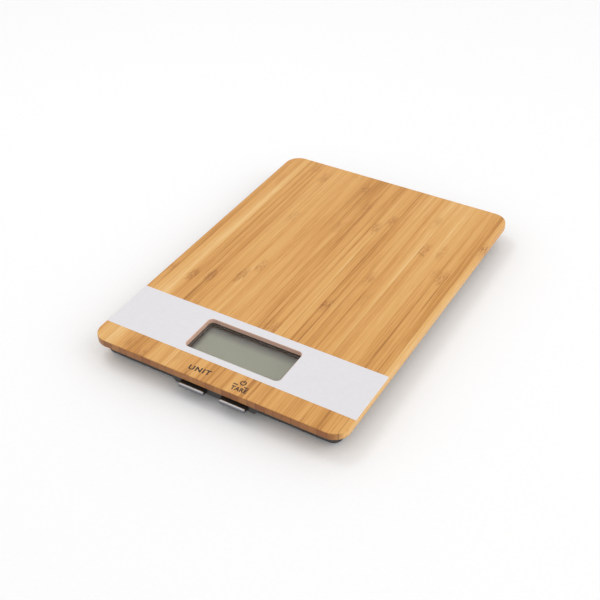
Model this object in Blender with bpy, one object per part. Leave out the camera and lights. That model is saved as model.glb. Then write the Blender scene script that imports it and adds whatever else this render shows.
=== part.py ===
"""A flat kitchen scale: a bamboo platform over a plastic tray with four sensing feet.

X runs across the scale, Y from the keys to the back, Z up from the table. Metres.
"""

import math

import bmesh
import bpy
from mathutils import Matrix, Vector

# Driving dimensions
HEIGHT = 0.0165  # table to weighing surface
GAP = 0.0003  # between pieces that touch

BOARD_WIDTH = 0.165
BOARD_DEPTH = 0.225
BOARD_THICK = 0.005
BOARD_CORNER = 0.010
BOARD_EASE = 0.0007

WINDOW_SIZE = (0.0628, 0.0266)
WINDOW_X = 0.0011
WINDOW_FROM_FRONT = 0.0330
WINDOW_CORNER = 0.003
WINDOW_WALL = 0.003  # bamboo left above the lens

SHELL_INSET = 0.0052  # how far the tray stands back under the board
SHELL_CORNER = 0.0055
SHELL_WALL = 0.0018
SHELL_CLEAR = 0.0028  # tray to table
SHELL_EASE = 0.0015

KEY_SIZE = (0.0172, 0.00285)  # width and height of a key's front
KEY_PITCH = 0.0270
KEY_CENTRE_X = 0.0021
KEY_BOTTOM = 0.00665
KEY_PROUD = 0.0021  # beyond the board's front edge
KEY_TRAVEL = 0.0005

BRACKET_INSET = 0.0016
BRACKET_BOTTOM = 0.00575
BRACKET_FOOT_WIDTH = 0.0517
BRACKET_WALL = 0.001

FOOT_X = 0.0593
FOOT_FROM_CENTRE = 0.088
FOOT_CLEAR = 0.0002  # room over a foot for the bend of its load cell
PAD_RADIUS = 0.0085
CELL_SIZE = 0.027
CELL_THICK = 0.001
CELL_BOTTOM = 0.0072
HOLDER_SIZE = 0.031

BATTERY_RADIUS = 0.010
BATTERY_THICK = 0.0032
BATTERY_FROM_CENTRE = -0.014
HINGE_FROM_BATTERY = 0.0142
DOOR_SIZE = (0.027, 0.0281)
DOOR_THICK = 0.0014
HINGE_RADIUS = 0.0012
PIN_RADIUS = 0.0006

# Places that follow from them
BOARD_Y = KEY_PROUD / 2
FRONT_EDGE = BOARD_Y - BOARD_DEPTH / 2
BOARD_BOTTOM = HEIGHT - BOARD_THICK
WINDOW_Y = FRONT_EDGE + WINDOW_FROM_FRONT
LENS_TOP = HEIGHT - WINDOW_WALL - GAP
LENS_THICK = 0.0012
REBATE_SIZE = (WINDOW_SIZE[0] + 0.0051, WINDOW_SIZE[1] + 0.0049)

SHELL_SIZE = (BOARD_WIDTH - 2 * SHELL_INSET, BOARD_DEPTH - 2 * SHELL_INSET)
SHELL_TOP = BOARD_BOTTOM - GAP
SHELL_FLOOR = SHELL_CLEAR + SHELL_WALL
SHELL_FRONT = FRONT_EDGE + SHELL_INSET

BEZEL_SIZE = (0.069, 0.0353)
BEZEL_BOTTOM = 0.0074
PCB_BOTTOM = 0.0061
PCB_TOP = 0.0071
PCB_FRONT = FRONT_EDGE + 0.0086
PCB_BACK = FRONT_EDGE + 0.0585
PCB_HALF = 0.0395
LCD_SIZE = (0.0644, 0.0289)
LCD_BOTTOM = 0.0090
LCD_TOP = 0.0107

SCREW_X = 0.062
SCREW_Y = 0.060
BACK_SCREW_X = 0.024
BACK_SCREW_Y = 0.098
EAR_X = 0.0365
EAR_Y = 0.012

KEY_BACK_WALL = FRONT_EDGE + BRACKET_INSET + BRACKET_WALL
STEM_END = FRONT_EDGE + 0.0076
SWITCH_FRONT = FRONT_EDGE + 0.0095

BATTERY_Y = BOARD_Y + BATTERY_FROM_CENTRE
HINGE_Y = BATTERY_Y + HINGE_FROM_BATTERY
HINGE_Z = SHELL_CLEAR + HINGE_RADIUS
CAVITY_TOP = 0.0090
BAY_TOP = 0.0098

# Display stack
LCD_LEDGE = 0.0012
REFLECTOR_SIZE = (0.058, 0.023)
REFLECTOR_THICK = 0.0005
STRIP_SIZE = (0.058, 0.0022)
STRIP_OFFSET = 0.0132
STRIP_TOP = LCD_BOTTOM - GAP
CHIP_SIZE = (0.009, 0.009)
EAR_RADIUS = 0.0025
EAR_HOLE = 0.0012
EAR_HOLE_TOP = 0.0099

# Keys and switches
SWITCH_SIZE = (0.006, 0.0035)
SWITCH_TOP = 0.0109
PLUNGER_SIZE = (0.0024, 0.0016)
PLUNGER_Z = 0.0084
PLUNGER_PART = 0.0008  # length inside the switch at rest
STEM_SIZE = (0.005, 0.002)
FLANGE_WIDTH = 0.0196
FLANGE_THICK = 0.0006
KEY_Z = KEY_BOTTOM + KEY_SIZE[1] / 2
KEY_CORNER = 0.0012
KEY_EASE = 0.00035

# Tray, screws and cell bay
SCREW_HEAD = 0.0026
SCREW_HEAD_LOW = 0.0042
SCREW_HEAD_HIGH = 0.0059
SCREW_SHANK = 0.0014
SCREW_HOLE = SCREW_SHANK + GAP
SCREW_TIP = 0.0146
BOSS_RADIUS = 0.0037
WELL_RADIUS = 0.0032

CUP_RADIUS = 0.010
CUP_HOLE = CUP_RADIUS + 0.0005
RIB_THICK = 0.0012
RIB_HEIGHT = 0.0022
RIB_PLACES = (0.028, 0.058)  # from the board's middle

BAY_WALL = 0.0032
CAVITY_SIZE = (0.0236, 0.0244)
RELIEF_TOP = 0.0056
PIN_LENGTH = 0.0015
SCOOP_RADIUS = 0.006
SCOOP_DEPTH = 0.001
CONTACT_WIDTH = 0.004
MINUS_TAB_Y = 0.01015
PLUS_TAB_Y = -0.0115
DOOR_CORNER = 0.0020
TONGUE_WIDTH = 0.0100
SLIT_WIDTH = 0.0008
SLIT_LENGTH = 0.0065

# Battery and its contacts
BATTERY_LOW = 0.0047
CAN_EDGE = 0.0004
CAP_STEP = 0.0012
CONTACT_THICK = 0.0003
TAB_TOP = 0.0109
LEAF_Z = 0.0083

# Feet and load cells
CUP_RIM = 0.0009
CUP_CEILING = 0.0018
FLANGE_RADIUS = 0.0117
FLANGE_TOP = 0.0057
NOSE_RADIUS = 0.0035
PAD_TOP = 0.0015
PAD_EASE = 0.0003
LEDGE_RADIUS = 0.0105
LEDGE_TOP = 0.0100
GAUGE_SIZE = (0.006, 0.004)
GAUGE_THICK = 0.0004
SLOT_WIDTH = 0.0018
FRAME_WIDTH = 0.0038
TONGUE_HALF = 0.0070
WIRE_Z = CELL_BOTTOM + CELL_THICK / 2
CABLE_RADIUS = 0.0008

# Leads
LEAD_RADIUS = 0.0004
LEAD_Z = 0.01055

SEGMENTS = 24
SMALL_SEGMENTS = 14
SHARP_ANGLE = math.radians(35)

SIDES = {"left": -1, "right": 1}
CORNERS = {
    "front_left": (-1, -1),
    "front_right": (1, -1),
    "back_left": (-1, 1),
    "back_right": (1, 1),
}

# Name: colour, roughness, metallic
FINISHES = {
    "bamboo": ((0.60, 0.34, 0.12), 0.5, 0.0),
    "clear_acrylic": ((0.75, 0.78, 0.76), 0.08, 0.0),
    "black_plastic": ((0.025, 0.023, 0.023), 0.5, 0.0),
    "charcoal_plastic": ((0.045, 0.042, 0.042), 0.55, 0.0),
    "lcd_glass": ((0.33, 0.33, 0.25), 0.25, 0.0),
    "white_film": ((0.8, 0.8, 0.78), 0.6, 0.0),
    "elastomer": ((0.75, 0.72, 0.7), 0.7, 0.0),
    "green_laminate": ((0.02, 0.16, 0.06), 0.4, 0.0),
    "chip_black": ((0.01, 0.01, 0.011), 0.35, 0.0),
    "chrome": ((0.75, 0.75, 0.76), 0.15, 1.0),
    "sprung_steel": ((0.6, 0.58, 0.52), 0.3, 1.0),
    "cell_steel": ((0.45, 0.46, 0.48), 0.35, 1.0),
    "gauge_film": ((0.75, 0.45, 0.15), 0.4, 0.0),
    "white_plastic": ((0.7, 0.7, 0.68), 0.5, 0.0),
    "grey_rubber": ((0.12, 0.12, 0.12), 0.8, 0.0),
    "zinc_steel": ((0.55, 0.55, 0.56), 0.3, 1.0),
    "wire_white": ((0.7, 0.7, 0.7), 0.5, 0.0),
    "wire_red": ((0.5, 0.02, 0.02), 0.5, 0.0),
    "wire_black": ((0.02, 0.02, 0.02), 0.5, 0.0),
}


def clear_scene():
    for obj in list(bpy.data.objects):
        bpy.data.objects.remove(obj, do_unlink=True)


def finish_material(name):
    """The Principled material of one finish, made once."""
    material = bpy.data.materials.get(name)
    if material:
        return material
    colour, roughness, metallic = FINISHES[name]
    material = bpy.data.materials.new(name)
    material.use_nodes = True
    shader = material.node_tree.nodes["Principled BSDF"]
    shader.inputs["Base Color"].default_value = (*colour, 1)
    shader.inputs["Roughness"].default_value = roughness
    shader.inputs["Metallic"].default_value = metallic
    return material


def make_object(name, bm, finish=None, origin=(0, 0, 0)):
    """One object from a mesh in world place. Its origin goes to the point given."""
    bmesh.ops.remove_doubles(bm, verts=bm.verts, dist=1e-7)
    bmesh.ops.recalc_face_normals(bm, faces=bm.faces)
    bmesh.ops.translate(bm, verts=bm.verts, vec=-Vector(origin))
    mesh = bpy.data.meshes.new(name)
    bm.to_mesh(mesh)
    bm.free()
    obj = bpy.data.objects.new(name, mesh)
    obj.location = origin
    bpy.context.scene.collection.objects.link(obj)
    if finish:
        mesh.materials.append(finish_material(finish))
        mesh.shade_smooth()
        mesh.set_sharp_from_angle(angle=SHARP_ANGLE)
    return obj


def change(obj, operation, name, bm):
    """Adds or cuts a helper solid, which stays out of the render."""
    helper = make_object(name, bm)
    helper.hide_render = True
    helper.display_type = "WIRE"
    modifier = obj.modifiers.new(name, "BOOLEAN")
    modifier.operation = operation
    modifier.object = helper


def rounded_outline(size, radius, centre=(0, 0), steps=6):
    """Points round a rectangle with round corners, anticlockwise."""
    points = []
    for turn, (sx, sy) in enumerate(((1, -1), (1, 1), (-1, 1), (-1, -1))):
        cx = centre[0] + sx * (size[0] / 2 - radius)
        cy = centre[1] + sy * (size[1] / 2 - radius)
        for step in range(steps + 1):
            angle = math.pi / 2 * (turn - 1 + step / steps)
            points.append((cx + radius * math.cos(angle), cy + radius * math.sin(angle)))
    return points


def extrude(bm, points, vector):
    """A closed solid from an outline in space, swept along a vector."""
    face = bm.faces.new([bm.verts.new(point) for point in points])
    swept = bmesh.ops.extrude_face_region(bm, geom=[face])["geom"]
    moved = [item for item in swept if isinstance(item, bmesh.types.BMVert)]
    bmesh.ops.translate(bm, verts=moved, vec=vector)
    bm.faces.new([bm.verts.new(point) for point in points])
    bmesh.ops.remove_doubles(bm, verts=bm.verts, dist=1e-7)


def add_plate(bm, size, radius, centre, low, high, steps=6):
    """An upright plate with round corners."""
    outline = rounded_outline(size, radius, centre, steps)
    extrude(bm, [(x, y, low) for x, y in outline], (0, 0, high - low))


def add_box(bm, low, high):
    corners = ((low[0], low[1]), (high[0], low[1]), (high[0], high[1]), (low[0], high[1]))
    extrude(bm, [(x, y, low[2]) for x, y in corners], (0, 0, high[2] - low[2]))


def add_slab(bm, centre, size, low, high):
    """A box given by its middle, its size in plan and its two heights."""
    half = (size[0] / 2, size[1] / 2)
    add_box(
        bm,
        (centre[0] - half[0], centre[1] - half[1], low),
        (centre[0] + half[0], centre[1] + half[1], high),
    )


def add_turned(bm, profile, centre, segments=SEGMENTS):
    """A solid turned about an upright axis from (radius, height) points that end on it."""
    verts = [bm.verts.new((centre[0] + r, centre[1], z)) for r, z in profile]
    edges = [bm.edges.new(pair) for pair in zip(verts, verts[1:])]
    bmesh.ops.spin(
        bm,
        geom=verts + edges,
        cent=(centre[0], centre[1], 0),
        axis=(0, 0, 1),
        angle=2 * math.pi,
        steps=segments,
        use_merge=True,
    )
    bmesh.ops.remove_doubles(bm, verts=bm.verts, dist=1e-7)


def add_cylinder(bm, radius, length, segments, matrix):
    bmesh.ops.create_cone(
        bm,
        cap_ends=True,
        segments=segments,
        radius1=radius,
        radius2=radius,
        depth=length,
        matrix=matrix,
    )


def add_drum(bm, centre, radius, low, high, segments=SEGMENTS):
    """An upright cylinder."""
    place = Matrix.Translation((centre[0], centre[1], (low + high) / 2))
    add_cylinder(bm, radius, high - low, segments, place)


def add_rod(bm, centre, radius, x_low, x_high):
    """A cylinder along X. centre is (y, z)."""
    place = Matrix.Translation(((x_low + x_high) / 2, centre[0], centre[1]))
    turned = place @ Matrix.Rotation(math.pi / 2, 4, "Y")
    add_cylinder(bm, radius, x_high - x_low, SMALL_SEGMENTS, turned)


def bevel_where(bm, width, segments, wanted):
    """Rounds the edges whose two ends satisfy a test."""
    edges = [edge for edge in bm.edges if all(wanted(vert.co) for vert in edge.verts)]
    bmesh.ops.bevel(
        bm, geom=edges, offset=width, segments=segments, affect="EDGES", profile=0.5
    )


def at_height(height):
    return lambda point: abs(point.z - height) < 1e-6


def screw_places():
    """Where the housing screws stand, in plan."""
    places = {
        corner: (sx * SCREW_X, BOARD_Y + sy * SCREW_Y) for corner, (sx, sy) in CORNERS.items()
    }
    for side, sx in SIDES.items():
        places["rear_" + side] = (sx * BACK_SCREW_X, BOARD_Y + BACK_SCREW_Y)
    return places


def ear_places():
    """Where the screws that clamp the circuit board stand, in plan."""
    return {
        corner: (WINDOW_X + sx * EAR_X, WINDOW_Y + sy * EAR_Y)
        for corner, (sx, sy) in CORNERS.items()
    }


def foot_places():
    return {
        corner: (sx * FOOT_X, BOARD_Y + sy * FOOT_FROM_CENTRE)
        for corner, (sx, sy) in CORNERS.items()
    }


def key_x(side):
    return KEY_CENTRE_X + SIDES[side] * KEY_PITCH / 2


# Platform and display


def make_platform():
    bm = bmesh.new()
    add_plate(
        bm, (BOARD_WIDTH, BOARD_DEPTH), BOARD_CORNER, (0, BOARD_Y), BOARD_BOTTOM, HEIGHT, 8
    )
    bevel_where(bm, BOARD_EASE, 2, at_height(HEIGHT))
    bevel_where(bm, BOARD_EASE, 2, at_height(BOARD_BOTTOM))
    board = make_object("bamboo_platform", bm, "bamboo")

    window = bmesh.new()
    top = HEIGHT + BOARD_EASE
    low = HEIGHT - WINDOW_WALL - GAP
    add_plate(window, WINDOW_SIZE, WINDOW_CORNER, (WINDOW_X, WINDOW_Y), low, top, 8)
    change(board, "DIFFERENCE", "window_cut", window)

    rebate = bmesh.new()
    below = BOARD_BOTTOM - BOARD_EASE
    corner = WINDOW_CORNER + BOARD_EASE
    high = HEIGHT - WINDOW_WALL
    add_plate(rebate, REBATE_SIZE, corner, (WINDOW_X, WINDOW_Y), below, high)
    for place in screw_places().values():
        add_drum(rebate, place, SCREW_HOLE, below, SCREW_TIP + GAP, SMALL_SEGMENTS)
    change(board, "DIFFERENCE", "rebate_and_pilot_holes_cut", rebate)


def make_lens():
    bm = bmesh.new()
    size = (REBATE_SIZE[0] - 2 * GAP, REBATE_SIZE[1] - 2 * GAP)
    low = LENS_TOP - LENS_THICK
    add_plate(bm, size, WINDOW_CORNER, (WINDOW_X, WINDOW_Y), low, LENS_TOP)
    make_object("display_lens", bm, "clear_acrylic")


def make_bezel():
    """The frame that holds the liquid crystal panel under the lens."""
    centre = (WINDOW_X, WINDOW_Y)
    shoulder = SHELL_TOP
    top = LENS_TOP - LENS_THICK - GAP
    pocket = (LCD_SIZE[0] + 2 * GAP, LCD_SIZE[1] + 2 * GAP)
    opening = (WINDOW_SIZE[0] - 2 * GAP, WINDOW_SIZE[1] - 2 * GAP)
    collar = (REBATE_SIZE[0] - 2 * GAP, REBATE_SIZE[1] - 2 * GAP)
    bm = bmesh.new()
    add_plate(bm, BEZEL_SIZE, WINDOW_CORNER, centre, BEZEL_BOTTOM, shoulder, 8)
    bezel = make_object("display_bezel", bm, "black_plastic")

    extra = bmesh.new()
    add_plate(extra, collar, WINDOW_CORNER, centre, LCD_TOP, top, 8)
    for place in ear_places().values():
        add_drum(extra, place, EAR_RADIUS, BEZEL_BOTTOM + GAP, LCD_TOP, SMALL_SEGMENTS)
    change(bezel, "UNION", "collar_and_ears", extra)

    hole = bmesh.new()
    add_plate(hole, opening, WINDOW_CORNER, centre, LCD_BOTTOM, HEIGHT, 8)
    change(bezel, "DIFFERENCE", "viewing_cut", hole)

    hollow = bmesh.new()
    add_slab(hollow, centre, pocket, PCB_TOP, LCD_TOP + GAP)
    for place in ear_places().values():
        add_drum(hollow, place, EAR_HOLE, PCB_TOP, EAR_HOLE_TOP, SMALL_SEGMENTS)
    change(bezel, "DIFFERENCE", "pocket_and_screw_cut", hollow)


def make_lcd():
    """Two glass plates, the upper one smaller by its contact ledges."""
    bm = bmesh.new()
    middle = (LCD_BOTTOM + LCD_TOP) / 2
    add_slab(bm, (WINDOW_X, WINDOW_Y), LCD_SIZE, LCD_BOTTOM, middle)
    upper = at_height(middle)
    top = [face for face in bm.faces if all(upper(vert.co) for vert in face.verts)]
    bmesh.ops.inset_region(bm, faces=top, thickness=LCD_LEDGE, use_even_offset=True)
    swept = bmesh.ops.extrude_face_region(bm, geom=top)["geom"]
    moved = [item for item in swept if isinstance(item, bmesh.types.BMVert)]
    bmesh.ops.translate(bm, verts=moved, vec=(0, 0, LCD_TOP - middle))
    bmesh.ops.delete(bm, geom=top, context="FACES")
    make_object("lcd_panel", bm, "lcd_glass")


def make_reflector():
    bm = bmesh.new()
    add_slab(bm, (WINDOW_X, WINDOW_Y), REFLECTOR_SIZE, STRIP_TOP - REFLECTOR_THICK, STRIP_TOP)
    make_object("lcd_reflector", bm, "white_film")


def make_contact_strips():
    """The two elastomer strips that join the panel to the circuit board."""
    for name, sy in (("front", -1), ("back", 1)):
        bm = bmesh.new()
        centre = (WINDOW_X, WINDOW_Y + sy * STRIP_OFFSET)
        add_slab(bm, centre, STRIP_SIZE, PCB_TOP + GAP, STRIP_TOP)
        make_object("contact_strip_" + name, bm, "elastomer")


def make_circuit_board():
    bm = bmesh.new()
    middle = (WINDOW_X, (PCB_FRONT + PCB_BACK) / 2)
    add_plate(bm, (2 * PCB_HALF, PCB_BACK - PCB_FRONT), GAP, middle, PCB_BOTTOM, PCB_TOP, 1)
    board = make_object("circuit_board", bm, "green_laminate")
    holes = bmesh.new()
    for place in ear_places().values():
        add_drum(holes, place, EAR_HOLE, PCB_BOTTOM - GAP, PCB_TOP + GAP, SMALL_SEGMENTS)
    change(board, "DIFFERENCE", "board_screw_cut", holes)


def make_controller_chip():
    bm = bmesh.new()
    add_slab(bm, (WINDOW_X, WINDOW_Y), CHIP_SIZE, SHELL_FLOOR + GAP, PCB_BOTTOM - GAP)
    bevel_where(bm, GAP / 2, 1, at_height(SHELL_FLOOR + GAP))
    make_object("controller_chip", bm, "chip_black")


# Keys


def add_bar(bm, size, radius, centre, front, back, steps=4):
    """A bar along Y whose section is a rectangle with round corners. centre is (x, z)."""
    outline = rounded_outline(size, radius, centre, steps)
    extrude(bm, [(x, front, z) for x, z in outline], (0, back - front, 0))


def make_key(side):
    x = key_x(side)
    front = FRONT_EDGE - KEY_PROUD
    flange_front = KEY_BACK_WALL + GAP
    flange_back = flange_front + FLANGE_THICK
    bm = bmesh.new()
    add_bar(bm, KEY_SIZE, KEY_CORNER, (x, KEY_Z), front, flange_back - GAP / 2)
    bevel_where(bm, KEY_EASE, 2, lambda point: abs(point.y - front) < 1e-6)
    origin = (x, front, KEY_Z)
    key = make_object("key_" + side, bm, "chrome", origin)

    inner = bmesh.new()
    flange = (FLANGE_WIDTH, KEY_SIZE[1] - GAP)
    add_bar(inner, flange, GAP, (x, KEY_Z), flange_front, flange_back, 1)
    change(key, "UNION", "flange_of_key_" + side, inner)
    stem = bmesh.new()
    add_bar(stem, STEM_SIZE, GAP, (x, KEY_Z), flange_front + GAP, STEM_END, 1)
    change(key, "UNION", "stem_of_key_" + side, stem)


def make_switch(side):
    """A side-pushed tact switch: its body stays on the board and its plunger moves with the key."""
    x = key_x(side)
    back = SWITCH_FRONT + SWITCH_SIZE[1]
    bm = bmesh.new()
    low = (x - SWITCH_SIZE[0] / 2, SWITCH_FRONT, PCB_TOP + GAP)
    high = (x + SWITCH_SIZE[0] / 2, back, SWITCH_TOP)
    add_box(bm, low, high)
    body = make_object("switch_body_" + side, bm, "black_plastic")
    pocket = bmesh.new()
    mouth = (PLUNGER_SIZE[0] + 2 * GAP, PLUNGER_SIZE[1] + 2 * GAP)
    depth = PLUNGER_PART + KEY_TRAVEL + GAP
    add_bar(pocket, mouth, GAP, (x, PLUNGER_Z), SWITCH_FRONT - GAP, SWITCH_FRONT + depth, 1)
    change(body, "DIFFERENCE", "pocket_cut_" + side, pocket)

    plunger = bmesh.new()
    tip = STEM_END + GAP
    end = SWITCH_FRONT + PLUNGER_PART
    add_bar(plunger, PLUNGER_SIZE, GAP, (x, PLUNGER_Z), tip, end, 1)
    make_object("switch_plunger_" + side, plunger, "white_plastic", (x, tip, PLUNGER_Z))


def make_bracket():
    """The guide under the board's front edge, with slanted ends and a slot for each key."""
    front = FRONT_EDGE + BRACKET_INSET
    back = SHELL_FRONT - GAP
    half_low = BRACKET_FOOT_WIDTH / 2
    half_high = half_low + (SHELL_TOP - BRACKET_BOTTOM)
    corners = (
        (-half_low, BRACKET_BOTTOM),
        (half_low, BRACKET_BOTTOM),
        (half_high, SHELL_TOP),
        (-half_high, SHELL_TOP),
    )
    bm = bmesh.new()
    extrude(bm, [(KEY_CENTRE_X + x, front, z) for x, z in corners], (0, back - front, 0))
    bevel_where(bm, GAP, 1, lambda point: abs(point.y - front) < 1e-6 and point.z < SHELL_TOP)
    bracket = make_object("key_bracket", bm, "black_plastic")

    hollow = bmesh.new()
    reach = KEY_PITCH / 2 + FLANGE_WIDTH / 2 + 2 * GAP
    floor = KEY_BOTTOM - GAP
    add_box(
        hollow,
        (KEY_CENTRE_X - reach, KEY_BACK_WALL, floor),
        (KEY_CENTRE_X + reach, back + GAP, SHELL_TOP - BRACKET_WALL),
    )
    change(bracket, "DIFFERENCE", "bracket_hollow_cut", hollow)
    slots = bmesh.new()
    size = (KEY_SIZE[0] + 2 * GAP, KEY_SIZE[1] + 2 * GAP)
    for side in SIDES:
        centre = (key_x(side), KEY_Z)
        add_bar(slots, size, KEY_CORNER + GAP, centre, front - GAP, KEY_BACK_WALL + GAP)
    change(bracket, "DIFFERENCE", "key_slots_cut", slots)


# Tray


def add_bay_block(bm):
    """The block that holds the cell, its door's recess and the hinge sockets."""
    half = DOOR_SIZE[0] / 2 + GAP + BAY_WALL
    front = HINGE_Y - DOOR_SIZE[1] - GAP - BAY_WALL
    back = HINGE_Y + HINGE_RADIUS + GAP + BAY_WALL
    add_box(bm, (-half, front, SHELL_FLOOR - GAP), (half, back, BAY_TOP))


def add_ribs(bm):
    """Stiffening ribs on the tray's floor, each clear of the bosses and of the bay."""
    half = SHELL_SIZE[0] / 2 - SHELL_WALL
    for offset in RIB_PLACES:
        y = BOARD_Y + offset
        low = (-BACK_SCREW_X * 2, y - RIB_THICK / 2, SHELL_FLOOR - GAP)
        add_box(bm, low, (BACK_SCREW_X * 2, y + RIB_THICK / 2, SHELL_FLOOR + RIB_HEIGHT - GAP))
    for side in SIDES.values():
        inner = side * (half - RIB_THICK * 6)
        outer = side * (half + GAP)
        low = (min(inner, outer), BOARD_Y - RIB_THICK / 2, SHELL_FLOOR - GAP)
        high = (max(inner, outer), BOARD_Y + RIB_THICK / 2, SHELL_TOP - RIB_HEIGHT)
        add_box(bm, low, high)


def make_shell():
    bm = bmesh.new()
    add_plate(bm, SHELL_SIZE, SHELL_CORNER, (0, BOARD_Y), SHELL_CLEAR, SHELL_TOP, 5)
    bevel_where(bm, SHELL_EASE, 3, at_height(SHELL_CLEAR))
    shell = make_object("bottom_shell", bm, "charcoal_plastic")

    cavity = bmesh.new()
    inside = (SHELL_SIZE[0] - 2 * SHELL_WALL, SHELL_SIZE[1] - 2 * SHELL_WALL)
    radius = SHELL_CORNER - SHELL_WALL
    add_plate(cavity, inside, radius, (0, BOARD_Y), SHELL_FLOOR, HEIGHT, 5)
    change(shell, "DIFFERENCE", "tray_cut", cavity)

    added = bmesh.new()
    for place in screw_places().values():
        add_drum(added, place, BOSS_RADIUS, SHELL_FLOOR - GAP, SHELL_TOP, SMALL_SEGMENTS)
    add_bay_block(added)
    add_ribs(added)
    change(shell, "UNION", "bosses_bay_and_ribs", added)

    door_recess = bmesh.new()
    half = DOOR_SIZE[0] / 2 + GAP
    front = HINGE_Y - DOOR_SIZE[1] - GAP
    back = HINGE_Y + HINGE_RADIUS + GAP
    low = SHELL_CLEAR - GAP
    ledge = SHELL_CLEAR + DOOR_THICK + GAP
    add_box(door_recess, (-half, front, low), (half, back, ledge))
    for place in screw_places().values():
        add_drum(door_recess, place, WELL_RADIUS, low, SCREW_HEAD_HIGH + GAP, SMALL_SEGMENTS)
    for place in foot_places().values():
        add_drum(door_recess, place, CUP_HOLE, low, SHELL_FLOOR + GAP)
    for side in SIDES:
        stem_hole = (STEM_SIZE[0] + 4 * GAP, STEM_SIZE[1] + 4 * GAP)
        wall_back = SHELL_FRONT + SHELL_WALL + GAP
        add_bar(door_recess, stem_hole, GAP, (key_x(side), KEY_Z), SHELL_FRONT - GAP, wall_back, 1)
    change(shell, "DIFFERENCE", "recess_wells_and_slots_cut", door_recess)

    hollow = bmesh.new()
    add_slab(hollow, (0, BATTERY_Y), CAVITY_SIZE, ledge - GAP, CAVITY_TOP)
    for place in screw_places().values():
        add_drum(hollow, place, SCREW_HOLE, SCREW_HEAD_LOW, HEIGHT, SMALL_SEGMENTS)
    change(shell, "DIFFERENCE", "cell_hollow_and_screw_cut", hollow)

    relief = bmesh.new()
    add_box(relief, (-half, HINGE_Y - HINGE_RADIUS * 2, ledge - GAP), (half, back, RELIEF_TOP))
    change(shell, "DIFFERENCE", "hinge_relief_cut", relief)

    sockets = bmesh.new()
    reach = half + PIN_LENGTH + GAP
    add_rod(sockets, (HINGE_Y, HINGE_Z), PIN_RADIUS + GAP, -reach, reach)
    change(shell, "DIFFERENCE", "hinge_socket_cut", sockets)

    slots = bmesh.new()
    for tab in (MINUS_TAB_Y, PLUS_TAB_Y):
        size = (CONTACT_WIDTH + 2 * GAP, 4 * GAP)
        add_slab(slots, (0, BATTERY_Y + tab), size, CAVITY_TOP - GAP, BAY_TOP + GAP)
    add_drum(slots, (0, front), SCOOP_RADIUS, low, SHELL_CLEAR + SCOOP_DEPTH)
    change(shell, "DIFFERENCE", "tab_slots_and_scoop_cut", slots)


def make_door():
    """The battery door: a plate with a round nose and two pins on its hinge edge."""
    half = DOOR_SIZE[0] / 2
    top = DOOR_THICK - HINGE_RADIUS
    rise = math.asin(top / HINGE_RADIUS)
    profile = [(-DOOR_SIZE[1], top), (-DOOR_SIZE[1], -HINGE_RADIUS)]
    for step in range(6):
        angle = -math.pi / 2 + (rise + math.pi / 2) * step / 5
        profile.append((HINGE_RADIUS * math.cos(angle), HINGE_RADIUS * math.sin(angle)))
    bm = bmesh.new()
    points = [(-half, HINGE_Y + y, HINGE_Z + z) for y, z in profile]
    extrude(bm, points, (2 * half, 0, 0))
    front = HINGE_Y - DOOR_SIZE[1]
    corner = DOOR_CORNER

    def upright_front(edge):
        ends = [vert.co for vert in edge.verts]
        return all(abs(end.y - front) < 1e-6 for end in ends) and ends[0].x * ends[1].x > 0

    edges = [edge for edge in bm.edges if upright_front(edge)]
    bmesh.ops.bevel(bm, geom=edges, offset=corner, segments=3, affect="EDGES", profile=0.5)
    door = make_object("battery_door", bm, "charcoal_plastic", (0, HINGE_Y, HINGE_Z))

    pins = bmesh.new()
    for side in SIDES.values():
        ends = sorted((side * (half - GAP), side * (half + PIN_LENGTH)))
        add_rod(pins, (HINGE_Y, HINGE_Z), PIN_RADIUS, *ends)
    change(door, "UNION", "hinge_pins", pins)

    slits = bmesh.new()
    for side in SIDES.values():
        centre = (side * TONGUE_WIDTH / 2, front + SLIT_LENGTH / 2 - GAP)
        size = (SLIT_WIDTH, SLIT_LENGTH + 2 * GAP)
        add_slab(slits, centre, size, SHELL_CLEAR - GAP, HINGE_Z + top + GAP)
    change(door, "DIFFERENCE", "latch_slits_cut", slits)


# Battery


def make_coin_cell():
    """A coin cell with its wide positive can down and the smaller negative cap up."""
    shoulder = BATTERY_LOW + BATTERY_THICK - CAN_EDGE
    top = BATTERY_LOW + BATTERY_THICK
    cap = BATTERY_RADIUS - CAP_STEP
    profile = (
        (0, BATTERY_LOW),
        (BATTERY_RADIUS - CAN_EDGE, BATTERY_LOW),
        (BATTERY_RADIUS, BATTERY_LOW + CAN_EDGE),
        (BATTERY_RADIUS, shoulder),
        (cap, shoulder),
        (cap, top),
        (0, top),
    )
    bm = bmesh.new()
    add_turned(bm, profile, (0, BATTERY_Y), 2 * SMALL_SEGMENTS)
    make_object("coin_cell", bm, "zinc_steel")


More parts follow.
